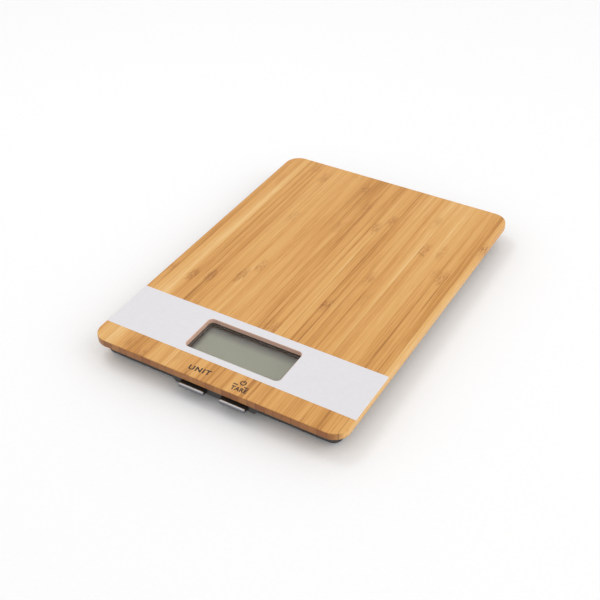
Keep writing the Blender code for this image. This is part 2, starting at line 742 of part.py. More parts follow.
def make_contacts():
    """Two bent leaves: one presses on the cell's cap, the other on its rim."""
    leaf_top = CAVITY_TOP - GAP
    bend = BATTERY_RADIUS * 0.3
    tip = -BATTERY_RADIUS * 0.4
    out = MINUS_TAB_Y + CONTACT_THICK / 2
    minus = (
        (out, TAB_TOP),
        (out, leaf_top - CONTACT_THICK),
        (bend, leaf_top - CONTACT_THICK),
        (0, LEAF_Z),
        (tip, LEAF_Z),
        (tip, LEAF_Z + CONTACT_THICK),
        (0, LEAF_Z + CONTACT_THICK),
        (bend, leaf_top),
        (out - CONTACT_THICK, leaf_top),
        (out - CONTACT_THICK, TAB_TOP),
    )
    rim = -BATTERY_RADIUS - GAP
    edge = PLUS_TAB_Y + CONTACT_THICK / 2
    plus = (
        (rim, BATTERY_LOW + CAN_EDGE),
        (rim, leaf_top),
        (edge, leaf_top),
        (edge, TAB_TOP),
        (edge - CONTACT_THICK, TAB_TOP),
        (edge - CONTACT_THICK, leaf_top - CONTACT_THICK),
        (rim - CONTACT_THICK, leaf_top - CONTACT_THICK),
        (rim - CONTACT_THICK, BATTERY_LOW + CAN_EDGE),
    )
    for name, outline in (("minus", minus), ("plus", plus)):
        bm = bmesh.new()
        points = [(-CONTACT_WIDTH / 2, BATTERY_Y + y, z) for y, z in outline]
        extrude(bm, points, (CONTACT_WIDTH, 0, 0))
        make_object("battery_contact_" + name, bm, "sprung_steel")


# Feet and load cells


def make_foot(corner, place):
    """A foot: a plastic cup that presses on the load cell, and the rubber pad under it."""
    cup = bmesh.new()
    recess = PAD_RADIUS + GAP
    profile = (
        (0, CUP_CEILING),
        (recess, CUP_CEILING),
        (recess, CUP_RIM),
        (CUP_RADIUS - CAN_EDGE, CUP_RIM),
        (CUP_RADIUS, CUP_RIM + CAN_EDGE),
        (CUP_RADIUS, SHELL_FLOOR + GAP),
        (FLANGE_RADIUS, SHELL_FLOOR + GAP),
        (FLANGE_RADIUS, FLANGE_TOP),
        (NOSE_RADIUS, FLANGE_TOP),
        (NOSE_RADIUS, CELL_BOTTOM - GAP - FOOT_CLEAR),
        (0, CELL_BOTTOM - GAP - FOOT_CLEAR),
    )
    add_turned(cup, profile, place)
    make_object("foot_cup_" + corner, cup, "charcoal_plastic", (*place, 0))

    pad = bmesh.new()
    profile = (
        (0, 0),
        (PAD_RADIUS - PAD_EASE, 0),
        (PAD_RADIUS, PAD_EASE),
        (PAD_RADIUS, PAD_TOP),
        (0, PAD_TOP),
    )
    add_turned(pad, profile, place)
    make_object("foot_pad_" + corner, pad, "grey_rubber", (*place, 0))


def make_load_cell(corner, place):
    """A steel plate with a U-shaped slot that frees a tongue, and the gauge on the tongue."""
    bm = bmesh.new()
    top = CELL_BOTTOM + CELL_THICK
    add_plate(bm, (CELL_SIZE, CELL_SIZE), CAN_EDGE, place, CELL_BOTTOM, top, 1)
    cell = make_object("load_cell_" + corner, bm, "cell_steel")
    out = TONGUE_HALF + SLOT_WIDTH
    end = CELL_SIZE / 2 - FRAME_WIDTH
    outline = (
        (-out, end),
        (-out, -end),
        (out, -end),
        (out, end),
        (TONGUE_HALF, end),
        (TONGUE_HALF, -end + SLOT_WIDTH),
        (-TONGUE_HALF, -end + SLOT_WIDTH),
        (-TONGUE_HALF, end),
    )
    slot = bmesh.new()
    points = [(place[0] + x, place[1] + y, CELL_BOTTOM - GAP) for x, y in outline]
    extrude(slot, points, (0, 0, CELL_THICK + 2 * GAP))
    change(cell, "DIFFERENCE", "tongue_cut_" + corner, slot)

    gauge = bmesh.new()
    centre = (place[0], place[1] + end - GAUGE_SIZE[1])
    add_slab(gauge, centre, GAUGE_SIZE, top + GAP, top + GAP + GAUGE_THICK)
    make_object("strain_gauge_" + corner, gauge, "gauge_film")


def make_holder(corner, place):
    """The carrier that presses the load cell's frame up against the platform."""
    bm = bmesh.new()
    low = SHELL_FLOOR + GAP
    add_plate(bm, (HOLDER_SIZE, HOLDER_SIZE), NOSE_RADIUS / 2, place, low, SHELL_TOP, 2)
    holder = make_object("cell_holder_" + corner, bm, "white_plastic")
    pocket = bmesh.new()
    size = CELL_SIZE + 2 * GAP
    step = CELL_BOTTOM + CELL_THICK + GAP
    add_slab(pocket, place, (size, size), low - GAP, step)
    change(holder, "DIFFERENCE", "cell_pocket_cut_" + corner, pocket)
    deeper = bmesh.new()
    add_drum(deeper, place, LEDGE_RADIUS, step - GAP, LEDGE_TOP)
    change(holder, "DIFFERENCE", "gauge_room_cut_" + corner, deeper)
    notch = bmesh.new()
    inner = -math.copysign(HOLDER_SIZE / 2, place[0])
    size = (HOLDER_SIZE / 6, 2 * (CABLE_RADIUS + 2 * GAP))
    bottom = WIRE_Z - CABLE_RADIUS - GAP
    add_slab(notch, (place[0] + inner, place[1]), size, bottom, SHELL_TOP + GAP)
    change(holder, "DIFFERENCE", "cable_notch_cut_" + corner, notch)


# Screws and wires


def make_screw(name, place, head_radius, head_low, head_high, shank, tip):
    """A pan-head screw, driven from below."""
    taper = shank * 0.6
    profile = (
        (0, head_low),
        (head_radius - taper / 2, head_low),
        (head_radius, head_low + taper / 2),
        (head_radius, head_high),
        (shank, head_high),
        (shank, tip - taper),
        (shank - taper, tip),
        (0, tip),
    )
    bm = bmesh.new()
    add_turned(bm, profile, place, SMALL_SEGMENTS)
    make_object(name, bm, "zinc_steel")


def make_screws():
    for name, place in screw_places().items():
        sizes = (SCREW_HEAD, SCREW_HEAD_LOW, SCREW_HEAD_HIGH, SCREW_SHANK, SCREW_TIP)
        make_screw("housing_screw_" + name, place, *sizes)
    head = (0.0020, SHELL_FLOOR + GAP, PCB_BOTTOM - GAP)
    for name, place in ear_places().items():
        sizes = (*head, EAR_HOLE - GAP, EAR_HOLE_TOP - GAP)
        make_screw("board_screw_" + name, place, *sizes)


def smooth_route(points, spacing):
    """Evenly spaced points on a smooth curve through the points of a route."""
    knots = [Vector(point) for point in points]
    knots = [2 * knots[0] - knots[1], *knots, 2 * knots[-1] - knots[-2]]
    fine = []
    for before, start, end, after in zip(knots, knots[1:], knots[2:], knots[3:]):
        for step in range(20):
            t = step / 20
            fine.append(
                0.5
                * (
                    2 * start
                    + (end - before) * t
                    + (2 * before - 5 * start + 4 * end - after) * t**2
                    + (3 * start - before - 3 * end + after) * t**3
                )
            )
    fine.append(knots[-2])
    length = sum((b - a).length for a, b in zip(fine, fine[1:]))
    count = max(4, round(length / spacing))
    even = [fine[0]]
    walked = 0
    for a, b in zip(fine, fine[1:]):
        step = (b - a).length
        while len(even) < count and walked + step >= length * len(even) / count:
            share = (length * len(even) / count - walked) / step
            even.append(a.lerp(b, share))
        walked += step
    even.append(fine[-1])
    return even


def make_wire(name, route, radius, finish):
    curve = bpy.data.curves.new(name, "CURVE")
    curve.dimensions = "3D"
    curve.bevel_depth = radius
    curve.bevel_resolution = 2
    curve.use_fill_caps = True
    points = smooth_route(route, radius * 6)
    spline = curve.splines.new("POLY")
    spline.points.add(len(points) - 1)
    for target, point in zip(spline.points, points):
        target.co = (*point, 1)
    curve.materials.append(finish_material(finish))
    wire = bpy.data.objects.new(name, curve)
    bpy.context.scene.collection.objects.link(wire)


def make_cell_cables():
    """One three-core cable from each load cell to the circuit board, inside the tray."""
    start_x = FOOT_X - CELL_SIZE / 2 - 1.5 * GAP
    land_z = PCB_TOP + CABLE_RADIUS + 2 * GAP
    for side, sx in SIDES.items():
        front_y = BOARD_Y - FOOT_FROM_CENTRE
        board_side = WINDOW_X + sx * (PCB_HALF - 0.0020)
        route = (
            (sx * start_x, front_y, WIRE_Z),
            (sx * (start_x - 0.0012), front_y, WIRE_Z),
            (sx * (start_x - 0.0030), front_y + 0.0005, land_z + GAP),
            (board_side + sx * 0.0010, front_y + 0.0035, land_z + GAP),
            (board_side, WINDOW_Y, land_z),
        )
        make_wire("cell_cable_front_" + side, route, CABLE_RADIUS, "wire_white")
        back_y = BOARD_Y + FOOT_FROM_CENTRE
        land = (WINDOW_X + sx * 0.021, PCB_BACK - 0.0035, land_z)
        route = (
            (sx * start_x, back_y, WIRE_Z),
            (sx * (start_x - 0.004), back_y, WIRE_Z),
            (sx * 0.036, back_y - 0.008, 0.0085),
            (sx * 0.032, BOARD_Y + 0.058, 0.0092),
            (sx * 0.031, BOARD_Y + 0.028, 0.0092),
            (sx * 0.030, BOARD_Y - 0.005, 0.0072),
            (sx * 0.028, BOARD_Y - 0.035, 0.0070),
            (land[0], land[1] + 0.006, land_z),
            land,
        )
        make_wire("cell_cable_back_" + side, route, CABLE_RADIUS, "wire_white")


def make_battery_leads():
    """The two leads from the battery contacts to the circuit board."""
    land_z = PCB_TOP + GAP + LEAD_RADIUS
    front = HINGE_Y - DOOR_SIZE[1] - BAY_WALL
    for name, sx, tab in (("plus", 1, PLUS_TAB_Y), ("minus", -1, MINUS_TAB_Y)):
        start = sx * (CONTACT_WIDTH / 2 + GAP)
        y = BATTERY_Y + tab
        route = (
            (start, y, LEAD_Z),
            (start + sx * 0.002, y, LEAD_Z),
            (start + sx * 0.0045, y - 0.0025, LEAD_Z),
            (start + sx * 0.005, front + 0.001, LEAD_Z),
            (start + sx * 0.005, front - 0.005, LEAD_Z - 0.0012),
            (start + sx * 0.004, PCB_BACK + 0.003, land_z + 0.0006),
            (start + sx * 0.004, PCB_BACK - 0.003, land_z),
        )
        finish = "wire_red" if name == "plus" else "wire_black"
        make_wire("battery_lead_" + name, route, LEAD_RADIUS, finish)


def main():
    clear_scene()
    make_platform()
    make_lens()
    make_bezel()
    make_lcd()
    make_reflector()
    make_contact_strips()
    make_circuit_board()
    make_controller_chip()
    for side in SIDES:
        make_key(side)
        make_switch(side)
    make_bracket()
    make_shell()
    make_door()
    make_coin_cell()
    make_contacts()
    for corner, place in foot_places().items():
        make_foot(corner, place)
        make_load_cell(corner, place)
        make_holder(corner, place)
    make_screws()
    make_cell_cables()
    make_battery_leads()


main()
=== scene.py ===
import math
from functools import partial

import bmesh
import bpy
from mathutils import Matrix, Vector


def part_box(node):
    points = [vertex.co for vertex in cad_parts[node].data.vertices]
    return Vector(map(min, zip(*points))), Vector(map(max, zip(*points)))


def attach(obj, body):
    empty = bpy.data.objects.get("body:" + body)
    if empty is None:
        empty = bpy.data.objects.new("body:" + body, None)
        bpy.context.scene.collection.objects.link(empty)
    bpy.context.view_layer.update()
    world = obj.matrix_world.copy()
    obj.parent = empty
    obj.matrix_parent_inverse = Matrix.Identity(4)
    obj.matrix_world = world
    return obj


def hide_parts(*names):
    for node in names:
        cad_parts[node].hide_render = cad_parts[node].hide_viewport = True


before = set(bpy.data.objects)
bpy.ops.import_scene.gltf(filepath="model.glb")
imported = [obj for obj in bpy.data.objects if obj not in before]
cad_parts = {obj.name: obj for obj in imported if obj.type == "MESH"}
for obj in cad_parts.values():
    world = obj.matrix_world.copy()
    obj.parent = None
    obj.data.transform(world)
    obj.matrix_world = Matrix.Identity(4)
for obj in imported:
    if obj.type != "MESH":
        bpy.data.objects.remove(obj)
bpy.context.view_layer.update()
mm = 0.001

# general helpers


def linearColour(hexText):
    # sRGB hex to the linear values that sockets take
    parts = [int(hexText[place:place + 2], 16) / 255 for place in (0, 2, 4)]
    curve = [part / 12.92 if part <= 0.04045 else ((part + 0.055) / 1.055) ** 2.4 for part in parts]
    return (*curve, 1.0)


def addNode(tree, kind, inputs=None, **settings):
    # a node with its settings, and each input either a value or a link
    node = tree.nodes.new("ShaderNode" + kind)
    for name, value in settings.items():
        setattr(node, name, value)
    for name, value in (inputs or {}).items():
        if isinstance(value, bpy.types.NodeSocket):
            tree.links.new(value, node.inputs[name])
        else:
            node.inputs[name].default_value = value
    return node


def newMaterial(name):
    material = bpy.data.materials.new(name)
    material.use_nodes = True
    tree = material.node_tree
    shader = tree.nodes["Principled BSDF"]
    place = addNode(tree, "TexCoord").outputs["Object"]
    return material, tree, shader, place


meshing = {
    "merge": 0.001 * mm,
    "weld": 0.002 * mm,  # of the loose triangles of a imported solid
    "coplanar": 0.5,  # degrees within which its triangles become one face
    "sharp": 35,  # degrees past which an edge is drawn sharp
    "flat": 0.9995,  # a face this nearly square to an axis is drawn flat
}


def finishPiece(name, bm, material, body, replaced=(), second=None):
    # closes, turns outwards and shades a mesh, then puts it on its body
    # second is another material, which the faces marked with index 1 take
    bmesh.ops.remove_doubles(bm, verts=bm.verts, dist=meshing["merge"])
    bmesh.ops.recalc_face_normals(bm, faces=bm.faces)
    mesh = bpy.data.meshes.new(name)
    bm.to_mesh(mesh)
    bm.free()
    mesh.set_sharp_from_angle(angle=math.radians(meshing["sharp"]))
    for polygon in mesh.polygons:
        polygon.use_smooth = max(abs(part) for part in polygon.normal) < meshing["flat"]
    for finish in (material, second):
        if finish:
            mesh.materials.append(finish)
    piece = bpy.data.objects.new(name, mesh)
    bpy.context.scene.collection.objects.link(piece)
    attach(piece, body)
    if replaced:
        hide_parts(*replaced)


def addRing(bm, centre, size, corner, level, steps):
    # a flat face with round corners
    known = set(bm.faces)
    place = Matrix.Translation((*centre, level)) @ Matrix.Diagonal((*size, 1, 1))
    made = bmesh.ops.create_grid(bm, x_segments=1, y_segments=1, size=0.5, matrix=place)
    bmesh.ops.bevel(
        bm, geom=made["verts"], offset=corner, segments=steps, affect="VERTICES", profile=0.5, material=-1
    )
    return next(face for face in bm.faces if face not in known)


def stackRings(bm, rings, steps, rounds=(), looped=False):
    # joins rings of (centre, size, corner, level), then rounds the rims that rounds names
    faces = [addRing(bm, *ring, steps) for ring in rings]
    rims = [list(face.edges) for face in faces]
    inner = faces if looped else faces[1:-1]
    bmesh.ops.delete(bm, geom=inner, context="FACES_ONLY")
    levels = [ring[3] for ring in rings]
    pairs = list(zip(rims, rims[1:], levels, levels[1:]))
    if looped:
        pairs.append((rims[-1], rims[0], levels[-1], levels[0]))
    for lower, upper, start, end in pairs:
        if start == end:  # a flat step
            bmesh.ops.triangle_fill(bm, edges=lower + upper, use_beauty=True, normal=(0, 0, 1))
        else:
            bmesh.ops.bridge_loops(bm, edges=lower + upper)
    bmesh.ops.recalc_face_normals(bm, faces=bm.faces)
    for index, width, segments in rounds:
        bmesh.ops.bevel(
            bm, geom=rims[index], offset=width, segments=segments, affect="EDGES", profile=0.5, material=-1
        )


def addTurned(bm, profile, centre, steps):
    # (radius, height) points spun about an upright line
    verts = [bm.verts.new((centre[0] + radius, centre[1], height)) for radius, height in profile]
    edges = [bm.edges.new(pair) for pair in zip(verts, verts[1:])]
    bmesh.ops.spin(
        bm,
        geom=verts + edges,
        cent=(*centre, 0),
        axis=(0, 0, 1),
        angle=math.tau,
        steps=steps,
        use_merge=True,
    )
    bmesh.ops.remove_doubles(bm, verts=bm.verts, dist=meshing["merge"])


def copyNode(node):
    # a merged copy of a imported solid, ready to be worked on
    bm = bmesh.new()
    bm.from_mesh(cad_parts[node].data)
    bmesh.ops.remove_doubles(bm, verts=bm.verts, dist=meshing["weld"])
    bmesh.ops.dissolve_limit(
        bm, angle_limit=math.radians(meshing["coplanar"]), verts=bm.verts, edges=bm.edges
    )
    return bm


# camera and light

cameraView = {
    "azimuth": 32.30,
    "elevation": 39.03,
    "roll": -2.089,
    "distance": 0.6211,
    "aim": (-2.0 * mm, -12.4 * mm, 3.5 * mm),
    "lens": 60.92,
}


def makeCamera():
    turn = math.radians(cameraView["azimuth"])
    rise = math.radians(cameraView["elevation"])
    back = Vector((math.sin(turn) * math.cos(rise), -math.cos(turn) * math.cos(rise), math.sin(rise)))
    data = bpy.data.cameras.new("camera")
    data.lens = cameraView["lens"]
    data.clip_start = 0.01
    camera = bpy.data.objects.new("camera", data)
    bpy.context.scene.collection.objects.link(camera)
    facing = (-back).to_track_quat("-Z", "Y").to_matrix().to_4x4()
    roll = Matrix.Rotation(math.radians(cameraView["roll"]), 4, "Z")
    place = Vector(cameraView["aim"]) + back * cameraView["distance"]
    camera.matrix_world = Matrix.Translation(place) @ facing @ roll
    bpy.context.scene.camera = camera


studio = {
    "skyStrength": 0.81,
    "floorTints": ("fcfcfc", "ffffff"),
    "floorSize": 6.0,
    "lamps": {
        "keyLamp": {"place": (1.5, 0.2, 1.2), "size": 1.6, "power": 8.0},
        "topLamp": {"place": (-0.42, 0.08, 0.91), "size": 0.3, "power": 1.1},
    },
}


def makeStudio():
    scene = bpy.context.scene
    scene.view_settings.view_transform = "Standard"
    world = bpy.data.worlds.new("softSky")
    world.use_nodes = True
    world.node_tree.nodes["Background"].inputs["Color"].default_value = (1, 1, 1, 1)
    world.node_tree.nodes["Background"].inputs["Strength"].default_value = studio["skyStrength"]
    scene.world = world
    for name, lamp in studio["lamps"].items():
        data = bpy.data.lights.new(name, "AREA")
        data.size = lamp["size"]
        data.energy = lamp["power"]
        light = bpy.data.objects.new(name, data)
        scene.collection.objects.link(light)
        facing = (-Vector(lamp["place"])).to_track_quat("-Z", "Y").to_matrix().to_4x4()
        light.matrix_world = Matrix.Translation(lamp["place"]) @ facing

    # matt white paper sweep, with a trace of tooth
    material, tree, shader, place = newMaterial("matt_paper")
    add = partial(addNode, tree)
    tooth = add("TexNoise", {"Vector": place, "Scale": 400.0, "Detail": 2.0}).outputs["Fac"]
    tints = [linearColour(tint) for tint in studio["floorTints"]]
    colour = add("Mix", {"Factor": tooth, 6: tints[0], 7: tints[1]}, data_type="RGBA").outputs[2]
    tree.links.new(colour, shader.inputs["Base Color"])
    shader.inputs["Roughness"].default_value = 0.9
    bm = bmesh.new()
    bmesh.ops.create_grid(bm, x_segments=1, y_segments=1, size=studio["floorSize"] / 2)
    mesh = bpy.data.meshes.new("floor")
    bm.to_mesh(mesh)
    bm.free()
    mesh.materials.append(material)
    floor = bpy.data.objects.new("floor", mesh)
    scene.collection.objects.link(floor)


makeCamera()
makeStudio()
print("camera and studio ready")

# materials

bambooLook = {
    "strip": 5.4 * mm,  # width of one side-pressed strip
    "firstStrip": 0.37,  # where the strips start, in strips
    "streak": (1.8 * mm, 200 * mm),  # width and length of the broad streaks
    "fibre": (0.75 * mm, 38 * mm),  # fibre bundles are 0.2 mm, drawn coarser so that they show
    "fleck": (0.6 * mm, 9 * mm),
    "vein": (0.6 * mm, 150 * mm),  # thin dark lines that run far along the board
    "veinCut": (0.60, 0.72),  # how rare and how sharp they are
    "cloud": (13 * mm, 260 * mm),  # slow change of tone, which takes no notice of the strips
    "node": 210 * mm,  # spacing of the culm's joints in one strip
    "nodeStart": 0.22,  # where the joints start, in spacings
    "nodeHalo": 9.5 * mm,
    "nodeWander": 7.0 * mm,
    "nodeEdge": (2.4 * mm, 9 * mm),
    "nodeGrain": (1.2 * mm, 4.6 * mm),
    "nodeCurl": 1.4,
    "nodeDark": (0.43, 0.58),  # the part of the curled grain that darkens
    "nodeLight": (0.42, 0.30),  # and the part that lightens
    "nodeFaint": 0.12,  # strength of the faintest joint
    "nodeRange": 0.85,  # and how much stronger the plainest is
    "glue": 0.16 * mm,
    "tones": ((0.0, "a46828"), (0.28, "c88a3d"), (0.55, "dba056"), (0.78, "e2ad63"), (1.0, "ecbf7e")),
    "tone": 0.535,
    "spread": 0.26,  # of tone between strips
    "weights": {  # of each pattern in the tone, and its middle value
        "streak": (0.85, 0.5),
        "fibre": (0.62, 0.5),
        "fleck": (0.26, 0.5),
        "cloud": (1.3, 0.5),
        "dense": (-0.10, 0.2),
        "vein": (-0.32, 0.1),
        "halo": (-0.16, 0.1),
    },
    "nodeTone": "9a5b27",
    "nodePale": "efc98c",
    "glueTone": "8f5826",
    "endTone": "874c1b",
    "endLine": "5f3717",
    "endTurn": (0.5, 0.95),  # how far a face looks along the strips before it shows end grain
    "endDark": (0.70, 0.30),  # least share of the end tone, and its range between strips
    "endGlue": (0.10, 0.03),  # width of the glue lines in the end grain, in strips
    "bareTone": "e7c2b0",
    "roughness": 0.44,
    "roughRange": 0.16,
    "grainHeight": 0.03 * mm,
}


def makeBamboo(name, wash):
    # laminated bamboo, sanded and lacquered: warm strips with long fine fibres, ragged
    # joints here and there, and speckled end grain. The wash greys the walls of the
    # window, which are routed and bare.
    look = bambooLook
    strip = look["strip"]
    material, tree, shader, place = newMaterial(name)
    add = partial(addNode, tree)
    axes = add("SeparateXYZ", {0: place}).outputs
    inputs = {0: axes[0], 1: 1 / strip, 2: look["firstStrip"]}
    inStrips = add("Math", inputs, operation="MULTIPLY_ADD").outputs[0]
    index = add("Math", {0: inStrips}, operation="FLOOR").outputs[0]
    across = add("Math", {0: inStrips, 1: index}, operation="SUBTRACT").outputs[0]
    chance = add("TexWhiteNoise", {"W": index}, noise_dimensions="1D")
    chances = add("SeparateColor", {0: chance.outputs["Color"]}).outputs

    # each strip starts at its own place in the grain
    own = add("CombineXYZ", {0: chance.outputs["Value"], 1: chances[0], 2: chances[1]}).outputs[0]
    moved = add("VectorMath", {0: place, 1: own}, operation="ADD").outputs[0]

    def stretchedGrain(size, detail, source=moved, curl=0.0):
        scale = (1 / size[0], 1 / size[1], 1 / size[0])
        scaled = add("VectorMath", {0: source, 1: scale}, operation="MULTIPLY").outputs[0]
        inputs = {"Vector": scaled, "Scale": 1.0, "Detail": detail, "Roughness": 0.6, "Distortion": curl}
        return add("TexNoise", inputs).outputs["Fac"]

    patterns = {
        "streak": stretchedGrain(look["streak"], 3.0),
        "fibre": stretchedGrain(look["fibre"], 2.0),
        "fleck": stretchedGrain(look["fleck"], 1.0),
        "cloud": stretchedGrain(look["cloud"], 2.0, place),
    }
    vein = stretchedGrain(look["vein"], 1.0)
    limits = {1: look["veinCut"][0], 2: look["veinCut"][1], 3: 0.0, 4: 1.0}
    patterns["vein"] = add("MapRange", {0: vein, **limits}).outputs[0]

    # joints: a ragged mottled patch, curled like a small flame, some hardly to be seen
    inputs = {0: axes[1], 1: 1 / look["node"], 2: chances[2]}
    along = add("Math", inputs, operation="MULTIPLY_ADD").outputs[0]
    along = add("Math", {0: along, 1: look["nodeStart"]}, operation="ADD").outputs[0]
    along = add("Math", {0: along}, operation="FRACT").outputs[0]
    away = add("Math", {0: along, 1: 0.5}, operation="SUBTRACT").outputs[0]
    ragged = stretchedGrain(look["nodeEdge"], 2.0)
    ragged = add("Math", {0: ragged, 1: 0.5}, operation="SUBTRACT").outputs[0]
    inputs = {0: ragged, 1: 2 * look["nodeWander"] / look["node"], 2: away}
    away = add("Math", inputs, operation="MULTIPLY_ADD").outputs[0]
    away = add("Math", {0: away}, operation="ABSOLUTE").outputs[0]
    limits = {1: look["nodeHalo"] / look["node"], 2: 0.0, 3: 0.0, 4: 1.0}
    halo = add("MapRange", {0: away, **limits}, interpolation_type="SMOOTHSTEP").outputs[0]
    inputs = {0: chances[1], 1: look["nodeRange"], 2: look["nodeFaint"]}
    strength = add("Math", inputs, operation="MULTIPLY_ADD").outputs[0]
    halo = add("Math", {0: halo, 1: strength}, operation="MULTIPLY").outputs[0]
    curls = stretchedGrain(look["nodeGrain"], 2.0, curl=look["nodeCurl"])
    limits = {1: look["nodeDark"][0], 2: look["nodeDark"][1], 3: 0.0, 4: 1.0}
    dark = add("MapRange", {0: curls, **limits}).outputs[0]
    joint = add("Math", {0: halo, 1: dark}, operation="MULTIPLY").outputs[0]
    limits = {1: look["nodeLight"][0], 2: look["nodeLight"][1], 3: 0.0, 4: 0.8}
    pale = add("MapRange", {0: curls, **limits}).outputs[0]
    shine = add("Math", {0: halo, 1: pale}, operation="MULTIPLY").outputs[0]
    patterns["halo"] = halo

    # a little darker towards the dense side of the strip, which is either side
    flip = add("Math", {0: chances[0], 1: 0.5}, operation="GREATER_THAN").outputs[0]
    mirrored = add("Math", {0: 1.0, 1: across}, operation="SUBTRACT").outputs[0]
    dense = add("Mix", {"Factor": flip, "A": across, "B": mirrored}, data_type="FLOAT").outputs[0]
    patterns["dense"] = add("Math", {0: dense, 1: 3.0}, operation="POWER").outputs[0]

    # tone of the wood, through the ramp of its colours
    inputs = {0: chance.outputs["Value"], 1: look["spread"], 2: look["tone"] - look["spread"] / 2}
    tone = add("Math", inputs, operation="MULTIPLY_ADD").outputs[0]
    for pattern, (weight, middle) in look["weights"].items():
        tone = add("Math", {0: tone, 1: weight * middle}, operation="SUBTRACT").outputs[0]
        inputs = {0: patterns[pattern], 1: weight, 2: tone}
        tone = add("Math", inputs, operation="MULTIPLY_ADD").outputs[0]
    ramp = add("ValToRGB", {0: tone})
    stops = ramp.color_ramp.elements
    for number, (spot, tint) in enumerate(look["tones"]):
        stop = stops[number] if number < 2 else stops.new(spot)
        stop.position = spot
        stop.color = linearColour(tint)
    colour = ramp.outputs[0]

    # glue lines, some plain to see and some hardly at all
    nearest = add("Math", {0: inStrips}, operation="ROUND").outputs[0]
    gap = add("Math", {0: inStrips, 1: nearest}, operation="SUBTRACT").outputs[0]
    gap = add("Math", {0: gap}, operation="ABSOLUTE").outputs[0]
    limits = {1: look["glue"] / strip, 2: 0.3 * look["glue"] / strip, 3: 0.0, 4: 1.0}
    glue = add("MapRange", {0: gap, **limits}).outputs[0]
    chosen = add("TexWhiteNoise", {"W": nearest}, noise_dimensions="1D").outputs["Value"]
    plain = add("Math", {0: chosen, 1: 2.0}, operation="POWER").outputs[0]
    glue = add("Math", {0: glue, 1: plain}, operation="MULTIPLY").outputs[0]

    # end grain, on faces that look along the strips: darker, with the glue lines wide
    facing = add("SeparateXYZ", {0: add("TexCoord").outputs["Normal"]}).outputs[1]
    facing = add("Math", {0: facing}, operation="ABSOLUTE").outputs[0]
    limits = {1: look["endTurn"][0], 2: look["endTurn"][1], 3: 0.0, 4: 1.0}
    endGrain = add("MapRange", {0: facing, **limits}).outputs[0]
    inputs = {0: chance.outputs["Value"], 1: look["endDark"][1], 2: look["endDark"][0]}
    endDark = add("Math", inputs, operation="MULTIPLY_ADD").outputs[0]
    endDark = add("Math", {0: endGrain, 1: endDark}, operation="MULTIPLY").outputs[0]
    limits = {1: look["endGlue"][0], 2: look["endGlue"][1], 3: 0.0, 4: 1.0}
    edges = add("MapRange", {0: gap, **limits}).outputs[0]
    edges = add("Math", {0: edges, 1: chosen}, operation="MULTIPLY").outputs[0]
    edges = add("Math", {0: edges, 1: endGrain}, operation="MULTIPLY").outputs[0]

    shares = (
        (joint, look["nodeTone"], 0.78),
        (shine, look["nodePale"], 0.6),
        (glue, look["glueTone"], 0.5),
        (endDark, look["endTone"], 1.0),
        (edges, look["endLine"], 0.6),
    )
    for share, tint, most in shares:
        factor = add("Math", {0: share, 1: most}, operation="MULTIPLY").outputs[0]
        inputs = {"Factor": factor, 6: colour, 7: linearColour(tint)}
        colour = add("Mix", inputs, data_type="RGBA").outputs[2]
    inputs = {"Factor": wash, 6: colour, 7: linearColour(look["bareTone"])}
    colour = add("Mix", inputs, data_type="RGBA").outputs[2]
    tree.links.new(colour, shader.inputs["Base Color"])

    inputs = {0: patterns["fibre"], 1: look["roughRange"], 2: look["roughness"] - look["roughRange"] / 2}
    rough = add("Math", inputs, operation="MULTIPLY_ADD").outputs[0]
    tree.links.new(rough, shader.inputs["Roughness"])
    height = add("Math", {0: glue, 1: -1.0, 2: patterns["fibre"]}, operation="MULTIPLY_ADD").outputs[0]
    bump = add("Bump", {"Height": height, "Strength": 0.5, "Distance": look["grainHeight"]})
    tree.links.new(bump.outputs[0], shader.inputs["Normal"])
    return material


